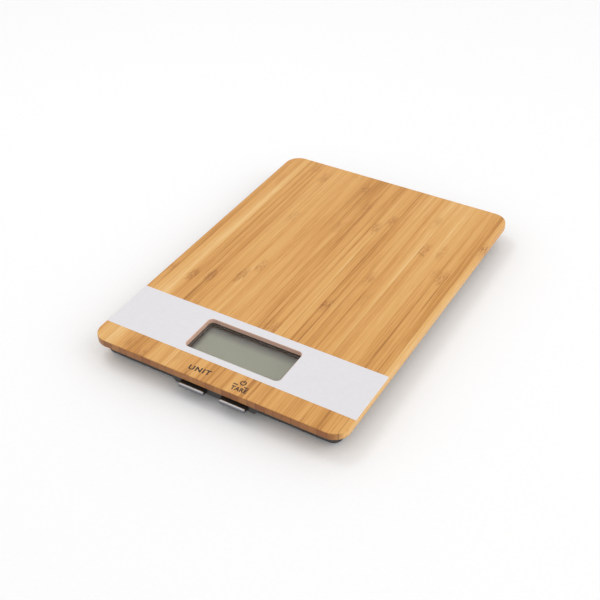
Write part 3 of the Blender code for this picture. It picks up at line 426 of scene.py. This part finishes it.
# name: colours of the mottle, size of the mottle, roughness and its spread, metallic,
# height and size of the surface grain, IOR
plainFinishes = {
    # satin enamel sprayed over the wood: near white, with a faint orange peel
    "satin_enamel": ("e1dfe2", "e4e2e5", 2.5, 0.34, 0.08, 0.0, 0.006, 1.4, 1.5),
    # pad-printed ink: dark brown, thin and a little uneven
    "pad_ink": ("2e1c10", "3c2515", 0.4, 0.55, 0.10, 0.0, 0.004, 0.2, 1.5),
    # injection-moulded ABS with a spark-eroded texture: dull black, finely pebbled
    "moulded_black_abs": ("1e1c1b", "292625", 1.2, 0.48, 0.12, 0.0, 0.015, 0.35, 1.53),
    # the same ABS in mid grey: a soft dark edge about the panel
    "moulded_grey_abs": ("7d7876", "86817e", 1.4, 0.5, 0.12, 0.0, 0.015, 0.35, 1.53),
    # the same ABS in charcoal with a coarser texture: broad broken highlights
    "moulded_charcoal_abs": ("2b2928", "363331", 1.6, 0.55, 0.14, 0.0, 0.03, 0.45, 1.53),
    # foamed polyester film: flat milky white
    "reflector_film": ("d8d8d4", "e4e4e0", 2.0, 0.55, 0.10, 0.0, 0.004, 0.3, 1.57),
    # layered conductive silicone: greyish and rubbery
    "silicone_strip": ("b6b0ac", "c8c3bf", 0.6, 0.65, 0.08, 0.0, 0.006, 0.2, 1.41),
    # cold-rolled phosphor bronze, nickel plated: a pale warm metal
    "sprung_steel": ("b9b4a8", "c8c4ba", 0.8, 0.28, 0.12, 1.0, 0.003, 0.15, 1.5),
    # drawn stainless can of a lithium cell: bright, slightly clouded
    "drawn_stainless": ("b4b6b8", "c6c8ca", 1.5, 0.25, 0.12, 1.0, 0.003, 0.3, 1.5),
    # stamped alloy-steel spring plate: grey, half dull
    "stamped_alloy_steel": ("8d9094", "a3a6aa", 0.9, 0.34, 0.14, 1.0, 0.006, 0.2, 1.5),
    # polyimide film over the gauge's foil: clear amber
    "polyimide_film": ("b97a2a", "cb8c38", 0.7, 0.35, 0.08, 0.0, 0.003, 0.2, 1.6),
    # natural ABS, moulded: creamy white, half matt
    "moulded_white_abs": ("cfcdc8", "dad8d4", 1.5, 0.48, 0.10, 0.0, 0.01, 0.3, 1.53),
    # nitrile rubber with talc left from the mould: dead matt, greyed
    "moulded_rubber": ("37373a", "48484a", 0.9, 0.78, 0.12, 0.0, 0.02, 0.3, 1.52),
    # zinc-plated carbon steel: silvery, a little uneven
    "zinc_plated_steel": ("a9abae", "bfc1c4", 0.6, 0.30, 0.14, 1.0, 0.004, 0.2, 1.5),
    # epoxy moulding compound: near black, finely speckled
    "epoxy_black": ("131314", "1c1c1e", 0.5, 0.42, 0.08, 0.0, 0.006, 0.12, 1.55),
    # extruded PVC sheath: smooth waxy white
    "white_pvc": ("c9c9c7", "d6d6d4", 1.0, 0.45, 0.08, 0.0, 0.004, 0.3, 1.53),
    # extruded PVC insulation: smooth deep red
    "red_pvc": ("8c1714", "a01d18", 1.0, 0.42, 0.08, 0.0, 0.004, 0.3, 1.53),
    # extruded PVC insulation: smooth black
    "black_pvc": ("18181a", "232325", 1.0, 0.42, 0.08, 0.0, 0.004, 0.3, 1.53),
}


def makePlain(name):
    # a mottle in the colour, a matching one in the roughness, and a fine surface grain
    dark, light, patch, roughness, spread, metallic, height, grit, ior = plainFinishes[name]
    material, tree, shader, place = newMaterial(name)
    add = partial(addNode, tree)
    mottle = add("TexNoise", {"Vector": place, "Scale": 1 / (patch * mm), "Detail": 3.0}).outputs["Fac"]
    share = add("MapRange", {0: mottle, 1: 0.3, 2: 0.7, 3: 0.0, 4: 1.0}).outputs[0]
    colour = add("Mix", {"Factor": share, 6: linearColour(dark), 7: linearColour(light)}, data_type="RGBA")
    tree.links.new(colour.outputs[2], shader.inputs["Base Color"])
    limits = {1: 0.3, 2: 0.7, 3: roughness - spread / 2, 4: roughness + spread / 2}
    rough = add("MapRange", {0: mottle, **limits}).outputs[0]
    tree.links.new(rough, shader.inputs["Roughness"])
    grain = add("TexNoise", {"Vector": place, "Scale": 1 / (grit * mm), "Detail": 2.0}).outputs["Fac"]
    bump = add("Bump", {"Height": grain, "Strength": 0.6, "Distance": height * mm})
    tree.links.new(bump.outputs[0], shader.inputs["Normal"])
    shader.inputs["Metallic"].default_value = metallic
    if not metallic:
        shader.inputs["IOR"].default_value = ior
    return material


acrylicLook = {"clear": "f4f7f5", "roughness": 0.03, "haze": 0.03, "smear": 7 * mm}


def makeAcrylic():
    # clear cast acrylic: polished, with the faintest smears of handling
    look = acrylicLook
    material, tree, shader, place = newMaterial("clear_acrylic")
    add = partial(addNode, tree)
    smear = add("TexNoise", {"Vector": place, "Scale": 1 / look["smear"], "Detail": 2.0}).outputs["Fac"]
    high = look["roughness"] + look["haze"]
    rough = add("MapRange", {0: smear, 1: 0.35, 2: 0.65, 3: look["roughness"], 4: high}).outputs[0]
    tree.links.new(rough, shader.inputs["Roughness"])
    shader.inputs["Base Color"].default_value = linearColour(look["clear"])
    shader.inputs["IOR"].default_value = 1.49
    shader.inputs["Transmission Weight"].default_value = 1.0
    return material


panelLook = {
    "film": "a39f8e",
    "paintedShade": "625d58",
    "metallic": 0.3,
    "roughness": 0.34,
    "cell": 0.35 * mm,
    "cover": 2.5 * mm,  # how far the board reaches in over the lens
    # the dim rim is painted shade, which reaches in from the frame's walls
    "rim": (5.0 * mm, 2.0 * mm, 9.0 * mm, 1.0 * mm),  # reach of the dim rim: left, right, back, front
    "mottle": 0.06,
}


def makePanel():
    # grey-green polariser film over glass, with a half-bright reflector. The film is darkened towards the
    # frame as a painted shadow of the frame's walls, most at the back and the left, where the walls stand
    # over it.
    look = panelLook
    material, tree, shader, place = newMaterial("polarised_glass")
    add = partial(addNode, tree)
    low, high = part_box("display_lens")
    axes = add("SeparateXYZ", {0: place}).outputs
    # painted shade of the frame's walls, faded in from each side over its reach
    sides = ((0, low.x, 1), (0, high.x, -1), (1, high.y, -1), (1, low.y, 1))
    share = 1.0
    for (axis, wall, sign), reach in zip(sides, look["rim"]):
        start = wall + sign * look["cover"]
        limits = {1: start, 2: start + sign * reach, 3: 0.0, 4: 1.0}
        lit = add("MapRange", {0: axes[axis], **limits}, interpolation_type="SMOOTHSTEP").outputs[0]
        share = add("Math", {0: share, 1: lit}, operation="MULTIPLY").outputs[0]
    grain = add("TexNoise", {"Vector": place, "Scale": 1 / look["cell"], "Detail": 1.0}).outputs["Fac"]
    inputs = {0: grain, 1: look["mottle"], 2: -look["mottle"] / 2}
    grain = add("Math", inputs, operation="MULTIPLY_ADD").outputs[0]
    share = add("Math", {0: share, 1: grain}, operation="ADD", use_clamp=True).outputs[0]
    tints = {6: linearColour(look["paintedShade"]), 7: linearColour(look["film"])}
    colour = add("Mix", {"Factor": share, **tints}, data_type="RGBA").outputs[2]
    tree.links.new(colour, shader.inputs["Base Color"])
    rough = add("Math", {0: grain, 1: look["roughness"]}, operation="ADD").outputs[0]
    tree.links.new(rough, shader.inputs["Roughness"])
    shader.inputs["Metallic"].default_value = look["metallic"]
    return material


# front is painted shade on the front face, top is a painted highlight on the faces that look up
chromeLook = {
    "front": "706f74",
    "top": "c2c0c2",
    "turn": (0.4, 0.8),  # upward tilt over which the one becomes the other
    "roughness": 0.34,
    "bloom": 3.0 * mm,
    "bloomShare": 0.08,  # of the bloom in the colour and in the roughness
    "grain": 0.5 * mm,
    "grainHeight": 0.0005 * mm,
}


def makeChrome():
    # chrome plate on ABS, with painted light: the faces that look up take a pale painted highlight,
    # and the front face a darker painted shade
    look = chromeLook
    material, tree, shader, place = newMaterial("chrome_plate")
    add = partial(addNode, tree)
    paintedHighlight = add("SeparateXYZ", {0: add("TexCoord").outputs["Normal"]}).outputs[2]
    limits = {1: look["turn"][0], 2: look["turn"][1], 3: 0.0, 4: 1.0}
    paintedHighlight = add("MapRange", {0: paintedHighlight, **limits}, interpolation_type="SMOOTHSTEP").outputs[0]
    bloom = add("TexNoise", {"Vector": place, "Scale": 1 / look["bloom"], "Detail": 2.0}).outputs["Fac"]
    trace = look["bloomShare"]
    inputs = {0: bloom, 1: trace, 2: paintedHighlight}
    share = add("Math", inputs, operation="MULTIPLY_ADD", use_clamp=True).outputs[0]
    # painted highlight and shade: the colour goes from the front tone to the top tone as the face tilts up
    inputs = {"Factor": share, 6: linearColour(look["front"]), 7: linearColour(look["top"])}
    colour = add("Mix", inputs, data_type="RGBA").outputs[2]
    tree.links.new(colour, shader.inputs["Base Color"])
    inputs = {0: bloom, 1: trace, 2: look["roughness"] - trace / 2}
    rough = add("Math", inputs, operation="MULTIPLY_ADD").outputs[0]
    tree.links.new(rough, shader.inputs["Roughness"])
    grain = add("TexNoise", {"Vector": place, "Scale": 1 / look["grain"], "Detail": 1.0}).outputs["Fac"]
    bump = add("Bump", {"Height": grain, "Strength": 0.3, "Distance": look["grainHeight"]})
    tree.links.new(bump.outputs[0], shader.inputs["Normal"])
    shader.inputs["Metallic"].default_value = 1.0
    return material


laminateLook = {"mask": "1d5a33", "under": "2b7043", "track": 1.1 * mm, "weave": 0.5 * mm}


def makeLaminate():
    # glass-epoxy laminate under green solder mask, with copper tracks showing lighter
    look = laminateLook
    material, tree, shader, place = newMaterial("solder_mask")
    add = partial(addNode, tree)
    cells = add("TexVoronoi", {"Vector": place, "Scale": 1 / (3 * look["track"])}, distance="MANHATTAN")
    rings = add("Math", {0: cells.outputs["Distance"], 1: 9.0}, operation="MULTIPLY").outputs[0]
    rings = add("Math", {0: rings}, operation="FRACT").outputs[0]
    track = add("Math", {0: rings, 1: 0.55}, operation="GREATER_THAN").outputs[0]
    inputs = {"Factor": track, 6: linearColour(look["mask"]), 7: linearColour(look["under"])}
    colour = add("Mix", inputs, data_type="RGBA").outputs[2]
    tree.links.new(colour, shader.inputs["Base Color"])
    weave = add("TexNoise", {"Vector": place, "Scale": 1 / look["weave"]}).outputs["Fac"]
    rough = add("MapRange", {0: weave, 1: 0.3, 2: 0.7, 3: 0.3, 4: 0.45})
    tree.links.new(rough.outputs[0], shader.inputs["Roughness"])
    height = add("Math", {0: track, 1: 0.5, 2: weave}, operation="MULTIPLY_ADD").outputs[0]
    bump = add("Bump", {"Height": height, "Strength": 0.5, "Distance": 0.02 * mm})
    tree.links.new(bump.outputs[0], shader.inputs["Normal"])
    return material


finishes = {name: makePlain(name) for name in plainFinishes}
finishes["laminated_bamboo"] = makeBamboo("laminated_bamboo", 0.0)
finishes["routed_bamboo"] = makeBamboo("routed_bamboo", 0.85)
finishes["clear_acrylic"] = makeAcrylic()
finishes["solder_mask"] = makeLaminate()
finishes["chrome_plate"] = makeChrome()
finishes["polarised_glass"] = makePanel()
print("materials ready:", len(finishes))

# platform

boardShape = {
    "corner": 10 * mm,
    "cornerSteps": 20,
    "edge": 0.7 * mm,
    "edgeSteps": 6,
    "window": (62.8 * mm, 26.6 * mm),
    "windowCorner": 3.0 * mm,
    "windowEdge": 0.25 * mm,
    "windowWall": 3.0 * mm,
    "windowEdgeSteps": 3,
    "rebateGap": 0.3 * mm,  # about the lens
    "rebateCorner": 3.7 * mm,
    "paint": 0.05 * mm,  # thickness of the painted band
    "paintWrap": 0.35 * mm,  # how far down the rounded edge the paint goes
    "bandFront": 15.17 * mm,  # from the board's front edge
    "bandBack": 52.35 * mm,
}


def makeBoard():
    shape = boardShape
    low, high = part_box("bamboo_platform")
    lensLow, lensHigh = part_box("display_lens")
    paint = shape["paint"]
    top = high.z - paint
    centre = ((low.x + high.x) / 2, (low.y + high.y) / 2)
    size = (high.x - low.x - 2 * paint, high.y - low.y - 2 * paint)
    middle = ((lensLow.x + lensHigh.x) / 2, (lensLow.y + lensHigh.y) / 2)
    room = 2 * shape["rebateGap"]
    rebate = (lensHigh.x - lensLow.x + room, lensHigh.y - lensLow.y + room)
    step = high.z - shape["windowWall"]
    rings = (
        (centre, size, shape["corner"], low.z),
        (centre, size, shape["corner"], top),
        (middle, shape["window"], shape["windowCorner"], top),
        (middle, shape["window"], shape["windowCorner"], step),
        (middle, rebate, shape["rebateCorner"], step),
        (middle, rebate, shape["rebateCorner"], low.z),
    )
    rounds = (
        (0, shape["edge"], shape["edgeSteps"]),
        (1, shape["edge"], shape["edgeSteps"]),
        (2, shape["windowEdge"], shape["windowEdgeSteps"]),
    )
    bm = bmesh.new()
    stackRings(bm, rings, shape["cornerSteps"], rounds, looped=True)
    band = bm.copy()
    half = [side / 2 + 0.9 * shape["windowEdge"] for side in shape["window"]]

    def inWindow(face):
        where = face.calc_center_median()
        return abs(where.x - middle[0]) < half[0] and abs(where.y - middle[1]) < half[1]

    for face in filter(inWindow, bm.faces):
        face.material_index = 1
    finishPiece(
        "platform_board",
        bm,
        finishes["laminated_bamboo"],
        "housing",
        ["bamboo_platform"],
        finishes["routed_bamboo"],
    )

    # the paint is cut from a copy of the board's own skin and thickened outwards
    bmesh.ops.recalc_face_normals(band, faces=band.faces)
    cuts = (
        ((0, low.y + shape["bandFront"], 0), (0, -1, 0)),
        ((0, low.y + shape["bandBack"], 0), (0, 1, 0)),
        ((0, 0, top - shape["paintWrap"]), (0, 0, -1)),
    )
    for spot, outward in cuts:
        geom = band.verts[:] + band.edges[:] + band.faces[:]
        bmesh.ops.bisect_plane(
            band, geom=geom, dist=1e-7, plane_co=spot, plane_no=outward, clear_outer=True
        )
    bmesh.ops.delete(band, geom=list(filter(inWindow, band.faces)), context="FACES")
    bmesh.ops.solidify(band, geom=band.faces[:], thickness=-paint)
    finishPiece("painted_band", band, finishes["satin_enamel"], "housing")


makeBoard()
print("board and band ready")

# printed marks on the front strip of the board

printMarks = {
    "thick": 0.02 * mm,
    "turn": 4.0,  # the print sits a little askew
    "bolder": 0.036,  # in letter heights
    "words": {
        "unit_word": {
            "text": "UNIT",
            "at": (-16.9 * mm, 4.5 * mm),
            "size": (13.8 * mm, 3.7 * mm),
            "spacing": 1.2,
        },
        "tare_word": {
            "text": "TARE",
            "at": (12.2 * mm, 2.75 * mm),
            "size": (9.8 * mm, 3.1 * mm),
            "spacing": 1.12,
        },
    },
    "rule": {
        "left": 11.6 * mm,
        "right": 21.6 * mm,
        "gap": (14.6 * mm, 18.6 * mm),
        "base": 7.3 * mm,
        "width": 0.7 * mm,
    },
    "power": {
        "x": 16.5 * mm,
        "base": 9.8 * mm,
        "radius": 1.5 * mm,
        "width": 0.74 * mm,
        "open": 60,  # degrees of the ring's gap
        "steps": 28,
        "stroke": (0.75, 1.3),  # middle and length of the upright, in radii
    },
}


def makeWord(name, word, front, level):
    curve = bpy.data.curves.new(name, "FONT")
    curve.body = word["text"]
    curve.space_character = word["spacing"]
    curve.extrude = 0.5
    curve.offset = printMarks["bolder"]
    holder = bpy.data.objects.new(name, curve)
    bpy.context.scene.collection.objects.link(holder)
    bpy.context.view_layer.update()
    mesh = bpy.data.meshes.new_from_object(holder)
    bpy.data.objects.remove(holder)
    bm = bmesh.new()
    bm.from_mesh(mesh)
    bpy.data.meshes.remove(mesh)
    lowest = min(vert.co.y for vert in bm.verts)
    leftmost = min(vert.co.x for vert in bm.verts)
    rightmost = max(vert.co.x for vert in bm.verts)
    highest = max(vert.co.y for vert in bm.verts)
    wide = word["size"][0] / (rightmost - leftmost)
    tall = word["size"][1] / (highest - lowest)
    bmesh.ops.translate(bm, verts=bm.verts, vec=(-leftmost, -lowest, 0.5))
    bmesh.ops.scale(bm, verts=bm.verts, vec=(wide, tall, printMarks["thick"]))
    turn = Matrix.Rotation(math.radians(printMarks["turn"]), 3, "Z")
    bmesh.ops.rotate(bm, verts=bm.verts, cent=(0, 0, 0), matrix=turn)
    bmesh.ops.translate(bm, verts=bm.verts, vec=(word["at"][0], front + word["at"][1], level))
    finishPiece(name, bm, finishes["pad_ink"], "housing")


def makeMarks():
    low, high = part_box("bamboo_platform")
    front = low.y
    level = high.z - boardShape["paint"]
    thick = printMarks["thick"]
    for name, word in printMarks["words"].items():
        makeWord(name, word, front, level)

    rule = printMarks["rule"]
    bm = bmesh.new()
    for left, right in ((rule["left"], rule["gap"][0]), (rule["gap"][1], rule["right"])):
        centre = ((left + right) / 2, front + rule["base"], level + thick / 2)
        place = Matrix.Translation(centre) @ Matrix.Diagonal((right - left, rule["width"], thick, 1))
        bmesh.ops.create_cube(bm, size=1, matrix=place)
    finishPiece("tare_rule", bm, finishes["pad_ink"], "housing")

    # an open ring with an upright stroke in its gap
    power = printMarks["power"]
    middle = Vector((power["x"], front + power["base"], level))
    half = power["width"] / 2
    opening = math.radians(power["open"])
    bm = bmesh.new()
    corners = ((-half, 0), (half, 0), (half, thick), (-half, thick))
    start = Matrix.Rotation(opening / 2 + math.pi / 2, 3, "Z")
    verts = [bm.verts.new(middle + start @ Vector((power["radius"] + out, 0, up))) for out, up in corners]
    face = bm.faces.new(verts)
    bmesh.ops.spin(
        bm,
        geom=[face],
        cent=middle,
        axis=(0, 0, 1),
        angle=math.tau - opening,
        steps=power["steps"],
        use_duplicate=False,
    )
    rise, length = power["stroke"]
    place = Matrix.Translation(middle + Vector((0, rise * power["radius"], thick / 2)))
    place @= Matrix.Diagonal((power["width"], length * power["radius"], thick, 1))
    bmesh.ops.create_cube(bm, size=1, matrix=place)
    finishPiece("power_mark", bm, finishes["pad_ink"], "housing")


makeMarks()
print("printed marks ready")

# keys

keyShape = {
    "width": 17.2 * mm,
    "corner": 1.2 * mm,
    "ease": 1.1 * mm,
    "plated": 1.4 * mm,  # how far back the plating goes
    "steps": 8,
    "easeSteps": 6,
    "flangeInset": 0.3 * mm,
    "flangeFront": 1.3 * mm,  # from the front of the guide
    "flangeThick": 0.6 * mm,
    "flangeCorner": 0.5 * mm,
    "stem": (5.0 * mm, 2.0 * mm),
    "stemCorner": 0.3 * mm,
}


def makeKey(side):
    shape = keyShape
    node = "key_" + side
    low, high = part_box(node)
    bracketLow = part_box("key_bracket")[0]
    centre = ((low.x + high.x) / 2, -(low.z + high.z) / 2)
    front = (shape["width"], high.z - low.z)
    flange = (high.x - low.x, high.z - low.z - shape["flangeInset"])
    flangeCorner = shape["flangeCorner"]
    flangeFront = bracketLow.y + shape["flangeFront"]
    flangeBack = flangeFront + shape["flangeThick"]
    rings = (
        (centre, front, shape["corner"], low.y),
        (centre, front, shape["corner"], low.y + shape["plated"]),
        (centre, front, shape["corner"], flangeFront),
        (centre, flange, flangeCorner, flangeFront),
        (centre, flange, flangeCorner, flangeBack),
        (centre, shape["stem"], shape["stemCorner"], flangeBack),
        (centre, shape["stem"], shape["stemCorner"], high.y),
    )
    bm = bmesh.new()
    stackRings(bm, rings, shape["steps"], ((0, shape["ease"], shape["easeSteps"]),))
    # rings are drawn flat, so the stack is tipped to lie along the keys' travel
    bmesh.ops.rotate(bm, verts=bm.verts, cent=(0, 0, 0), matrix=Matrix.Rotation(-math.pi / 2, 3, "X"))
    for face in bm.faces:
        face.material_index = int(face.calc_center_median().y > low.y + shape["plated"])
    black = finishes["moulded_black_abs"]
    finishPiece(node + "_cap", bm, finishes["chrome_plate"], node, [node], black)


for side in ("left", "right"):
    makeKey(side)
print("keys ready")

# tray, bracket, door and display frame: merged copies of the solids, smoothly shaded

mouldedCopies = {
    "tray": ("bottom_shell", "moulded_charcoal_abs", "charcoal_plastic", "housing"),
    "key_guide": ("key_bracket", "moulded_black_abs", "black_plastic", "housing"),
    "display_frame": ("display_bezel", "moulded_grey_abs", "black_plastic", "housing"),
    "cell_door": ("battery_door", "moulded_charcoal_abs", "charcoal_plastic", "battery_door"),
}

for name, (node, finish, slot, body) in mouldedCopies.items():
    finishPiece(name, copyNode(node), finishes[finish], body, [node])
print("moulded pieces ready")

# feet

footShape = {
    "steps": 64,
    "padGrooves": ((3.0 * mm, 3.5 * mm), (5.6 * mm, 6.1 * mm)),
    "grooveDepth": 0.25 * mm,
    "padEdge": 0.35 * mm,
    "cupEdge": 0.4 * mm,
    "cupRadius": 10.0 * mm,
    "cupGap": 0.3 * mm,  # about the pad
    "flange": (4.9 * mm, 5.7 * mm),  # heights of the flange's two faces
    "boss": 3.5 * mm,
}


def roundCorner(radius, height, size, fromAngle, steps=4):
    # points of a quarter circle about (radius, height)
    points = []
    for step in range(steps + 1):
        angle = math.radians(fromAngle + 90 * step / steps)
        points.append((radius + size * math.cos(angle), height + size * math.sin(angle)))
    return points


def makeFoot(corner):
    shape = footShape
    low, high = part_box("foot_pad_" + corner)
    centre = ((low.x + high.x) / 2, (low.y + high.y) / 2)
    radius = (high.x - low.x) / 2
    depth = shape["grooveDepth"]
    profile = [(0, low.z)]
    for inner, outer in shape["padGrooves"]:
        profile += [(inner, low.z), (inner + depth / 2, low.z + depth)]
        profile += [(outer - depth / 2, low.z + depth), (outer, low.z)]
    edge = shape["padEdge"]
    profile += roundCorner(radius - edge, low.z + edge, edge, -90)
    profile += [(radius, high.z), (0, high.z)]
    bm = bmesh.new()
    addTurned(bm, profile, centre, shape["steps"])
    rubber = finishes["moulded_rubber"]
    finishPiece("rubber_foot_" + corner, bm, rubber, "housing", ["foot_pad_" + corner])

    cupLow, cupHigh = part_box("foot_cup_" + corner)
    edge = shape["cupEdge"]
    gap = shape["cupGap"]
    outer = shape["cupRadius"]
    boss = shape["boss"]
    flange = (cupHigh.x - cupLow.x) / 2
    under, over = shape["flange"]
    profile = [(0, high.z + gap), (radius + gap, high.z + gap), (radius + gap, cupLow.z)]
    profile += roundCorner(outer - edge, cupLow.z + edge, edge, -90)
    profile += [(outer, under), (flange, under), (flange, over)]
    profile += [(boss, over), (boss, cupHigh.z), (0, cupHigh.z)]
    bm = bmesh.new()
    addTurned(bm, profile, centre, shape["steps"])
    plastic = finishes["moulded_charcoal_abs"]
    finishPiece("foot_shoe_" + corner, bm, plastic, "housing", ["foot_cup_" + corner])


for corner in ("front_left", "front_right", "back_left", "back_right"):
    makeFoot(corner)
print("feet ready")

# screws seen from below

screwShape = {
    "steps": 40,
    "headHeight": 1.7 * mm,
    "dome": 0.55 * mm,
    "domeBend": (0.86, 0.3),  # a point of the dome, in radii and in dome heights
    "land": 1.9 * mm,  # radius of the flat about the recess
    "shank": 1.4 * mm,
    "point": 0.8 * mm,
    "arm": (1.45 * mm, 0.36 * mm),  # reach and half width of the cross
    "depth": 0.9 * mm,
    "draft": 0.62,  # size of the recess at its floor
}


def makeScrew(node):
    shape = screwShape
    low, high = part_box(node)
    centre = Vector(((low.x + high.x) / 2, (low.y + high.y) / 2, 0))
    radius = (high.x - low.x) / 2
    shoulder = low.z + shape["headHeight"]
    bend, drop = shape["domeBend"]
    profile = (
        (shape["land"], low.z),
        (bend * radius, low.z + drop * shape["dome"]),
        (radius, low.z + shape["dome"]),
        (radius, shoulder),
        (shape["shank"], shoulder),
        (shape["shank"], high.z - shape["point"]),
        (0, high.z),
    )
    bm = bmesh.new()
    addTurned(bm, profile, centre.xy, shape["steps"])
    rim = [edge for edge in bm.edges if edge.is_boundary]

    # a cross recess sunk into the flat
    reach, half = shape["arm"]
    arm = ((half, half), (reach, half), (reach, -half))
    outline = [Matrix.Rotation(-turn * math.pi / 2, 2) @ Vector(spot) for turn in range(4) for spot in arm]
    mouth = [bm.verts.new(centre + Vector((*spot, low.z))) for spot in outline]
    bottom = low.z + shape["depth"]
    floor = [bm.verts.new(centre + Vector((*(spot * shape["draft"]), bottom))) for spot in outline]
    for number in range(len(outline)):
        nearer = number - 1
        bm.faces.new((mouth[nearer], mouth[number], floor[number], floor[nearer]))
    bm.faces.new(floor)
    lip = [edge for edge in bm.edges if edge.is_boundary and edge not in rim]
    bmesh.ops.triangle_fill(bm, edges=rim + lip, use_beauty=True, normal=(0, 0, -1))
    finishPiece(node + "_shown", bm, finishes["zinc_plated_steel"], "housing", [node])


screwNodes = [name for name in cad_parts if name.startswith("housing_screw")]
for name in screwNodes:
    makeScrew(name)
print("screws ready:", len(screwNodes))

# raised grip and opening mark on the battery door

gripShape = {
    "ribs": 5,
    "pitch": 1.1 * mm,
    "rib": (6.6 * mm, 0.45 * mm, 0.25 * mm),
    "fromFront": 0.8 * mm,
    "mark": 1.8 * mm,  # radius of the triangle
    "markFromFront": 8.6 * mm,
    "ease": 0.1 * mm,
}


def makeGrip():
    shape = gripShape
    low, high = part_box("battery_door")
    middle = (low.x + high.x) / 2
    proud = shape["rib"][2]
    bm = bmesh.new()
    for number in range(shape["ribs"]):
        y = low.y + shape["fromFront"] + number * shape["pitch"]
        place = Matrix.Translation((middle, y, low.z)) @ Matrix.Diagonal((*shape["rib"][:2], 2 * proud, 1))
        bmesh.ops.create_cube(bm, size=1, matrix=place)
    place = Matrix.Translation((middle, low.y + shape["markFromFront"], low.z))
    bmesh.ops.create_cone(
        bm,
        cap_ends=True,
        segments=3,
        radius1=shape["mark"],
        radius2=shape["mark"],
        depth=2 * proud,
        matrix=place @ Matrix.Rotation(math.pi, 4, "Z"),
    )
    edges = [edge for edge in bm.edges if all(vert.co.z < low.z for vert in edge.verts)]
    bmesh.ops.bevel(
        bm, geom=edges, offset=shape["ease"], segments=2, affect="EDGES", profile=0.5, material=-1
    )
    finishPiece("door_grip", bm, finishes["moulded_charcoal_abs"], "battery_door")


makeGrip()
print("door grip ready")

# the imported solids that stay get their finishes

keptFinishes = {
    "display_lens": "clear_acrylic",
    "lcd_panel": "polarised_glass",
    "lcd_reflector": "reflector_film",
    "contact_strip": "silicone_strip",
    "circuit_board": "solder_mask",
    "controller_chip": "epoxy_black",
    "switch_body": "moulded_black_abs",
    "switch_plunger": "moulded_white_abs",
    "coin_cell": "drawn_stainless",
    "battery_contact": "sprung_steel",
    "load_cell": "stamped_alloy_steel",
    "strain_gauge": "polyimide_film",
    "cell_holder": "moulded_white_abs",
    "board_screw": "zinc_plated_steel",
    "cell_cable": "white_pvc",
    "battery_lead_plus": "red_pvc",
    "battery_lead_minus": "black_pvc",
}

for name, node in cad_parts.items():
    if node.hide_render:
        continue
    finish = next(finish for start, finish in keptFinishes.items() if name.startswith(start))
    node.data.materials.clear()
    node.data.materials.append(finishes[finish])
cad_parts["display_lens"].visible_shadow = False
print("finishes set")
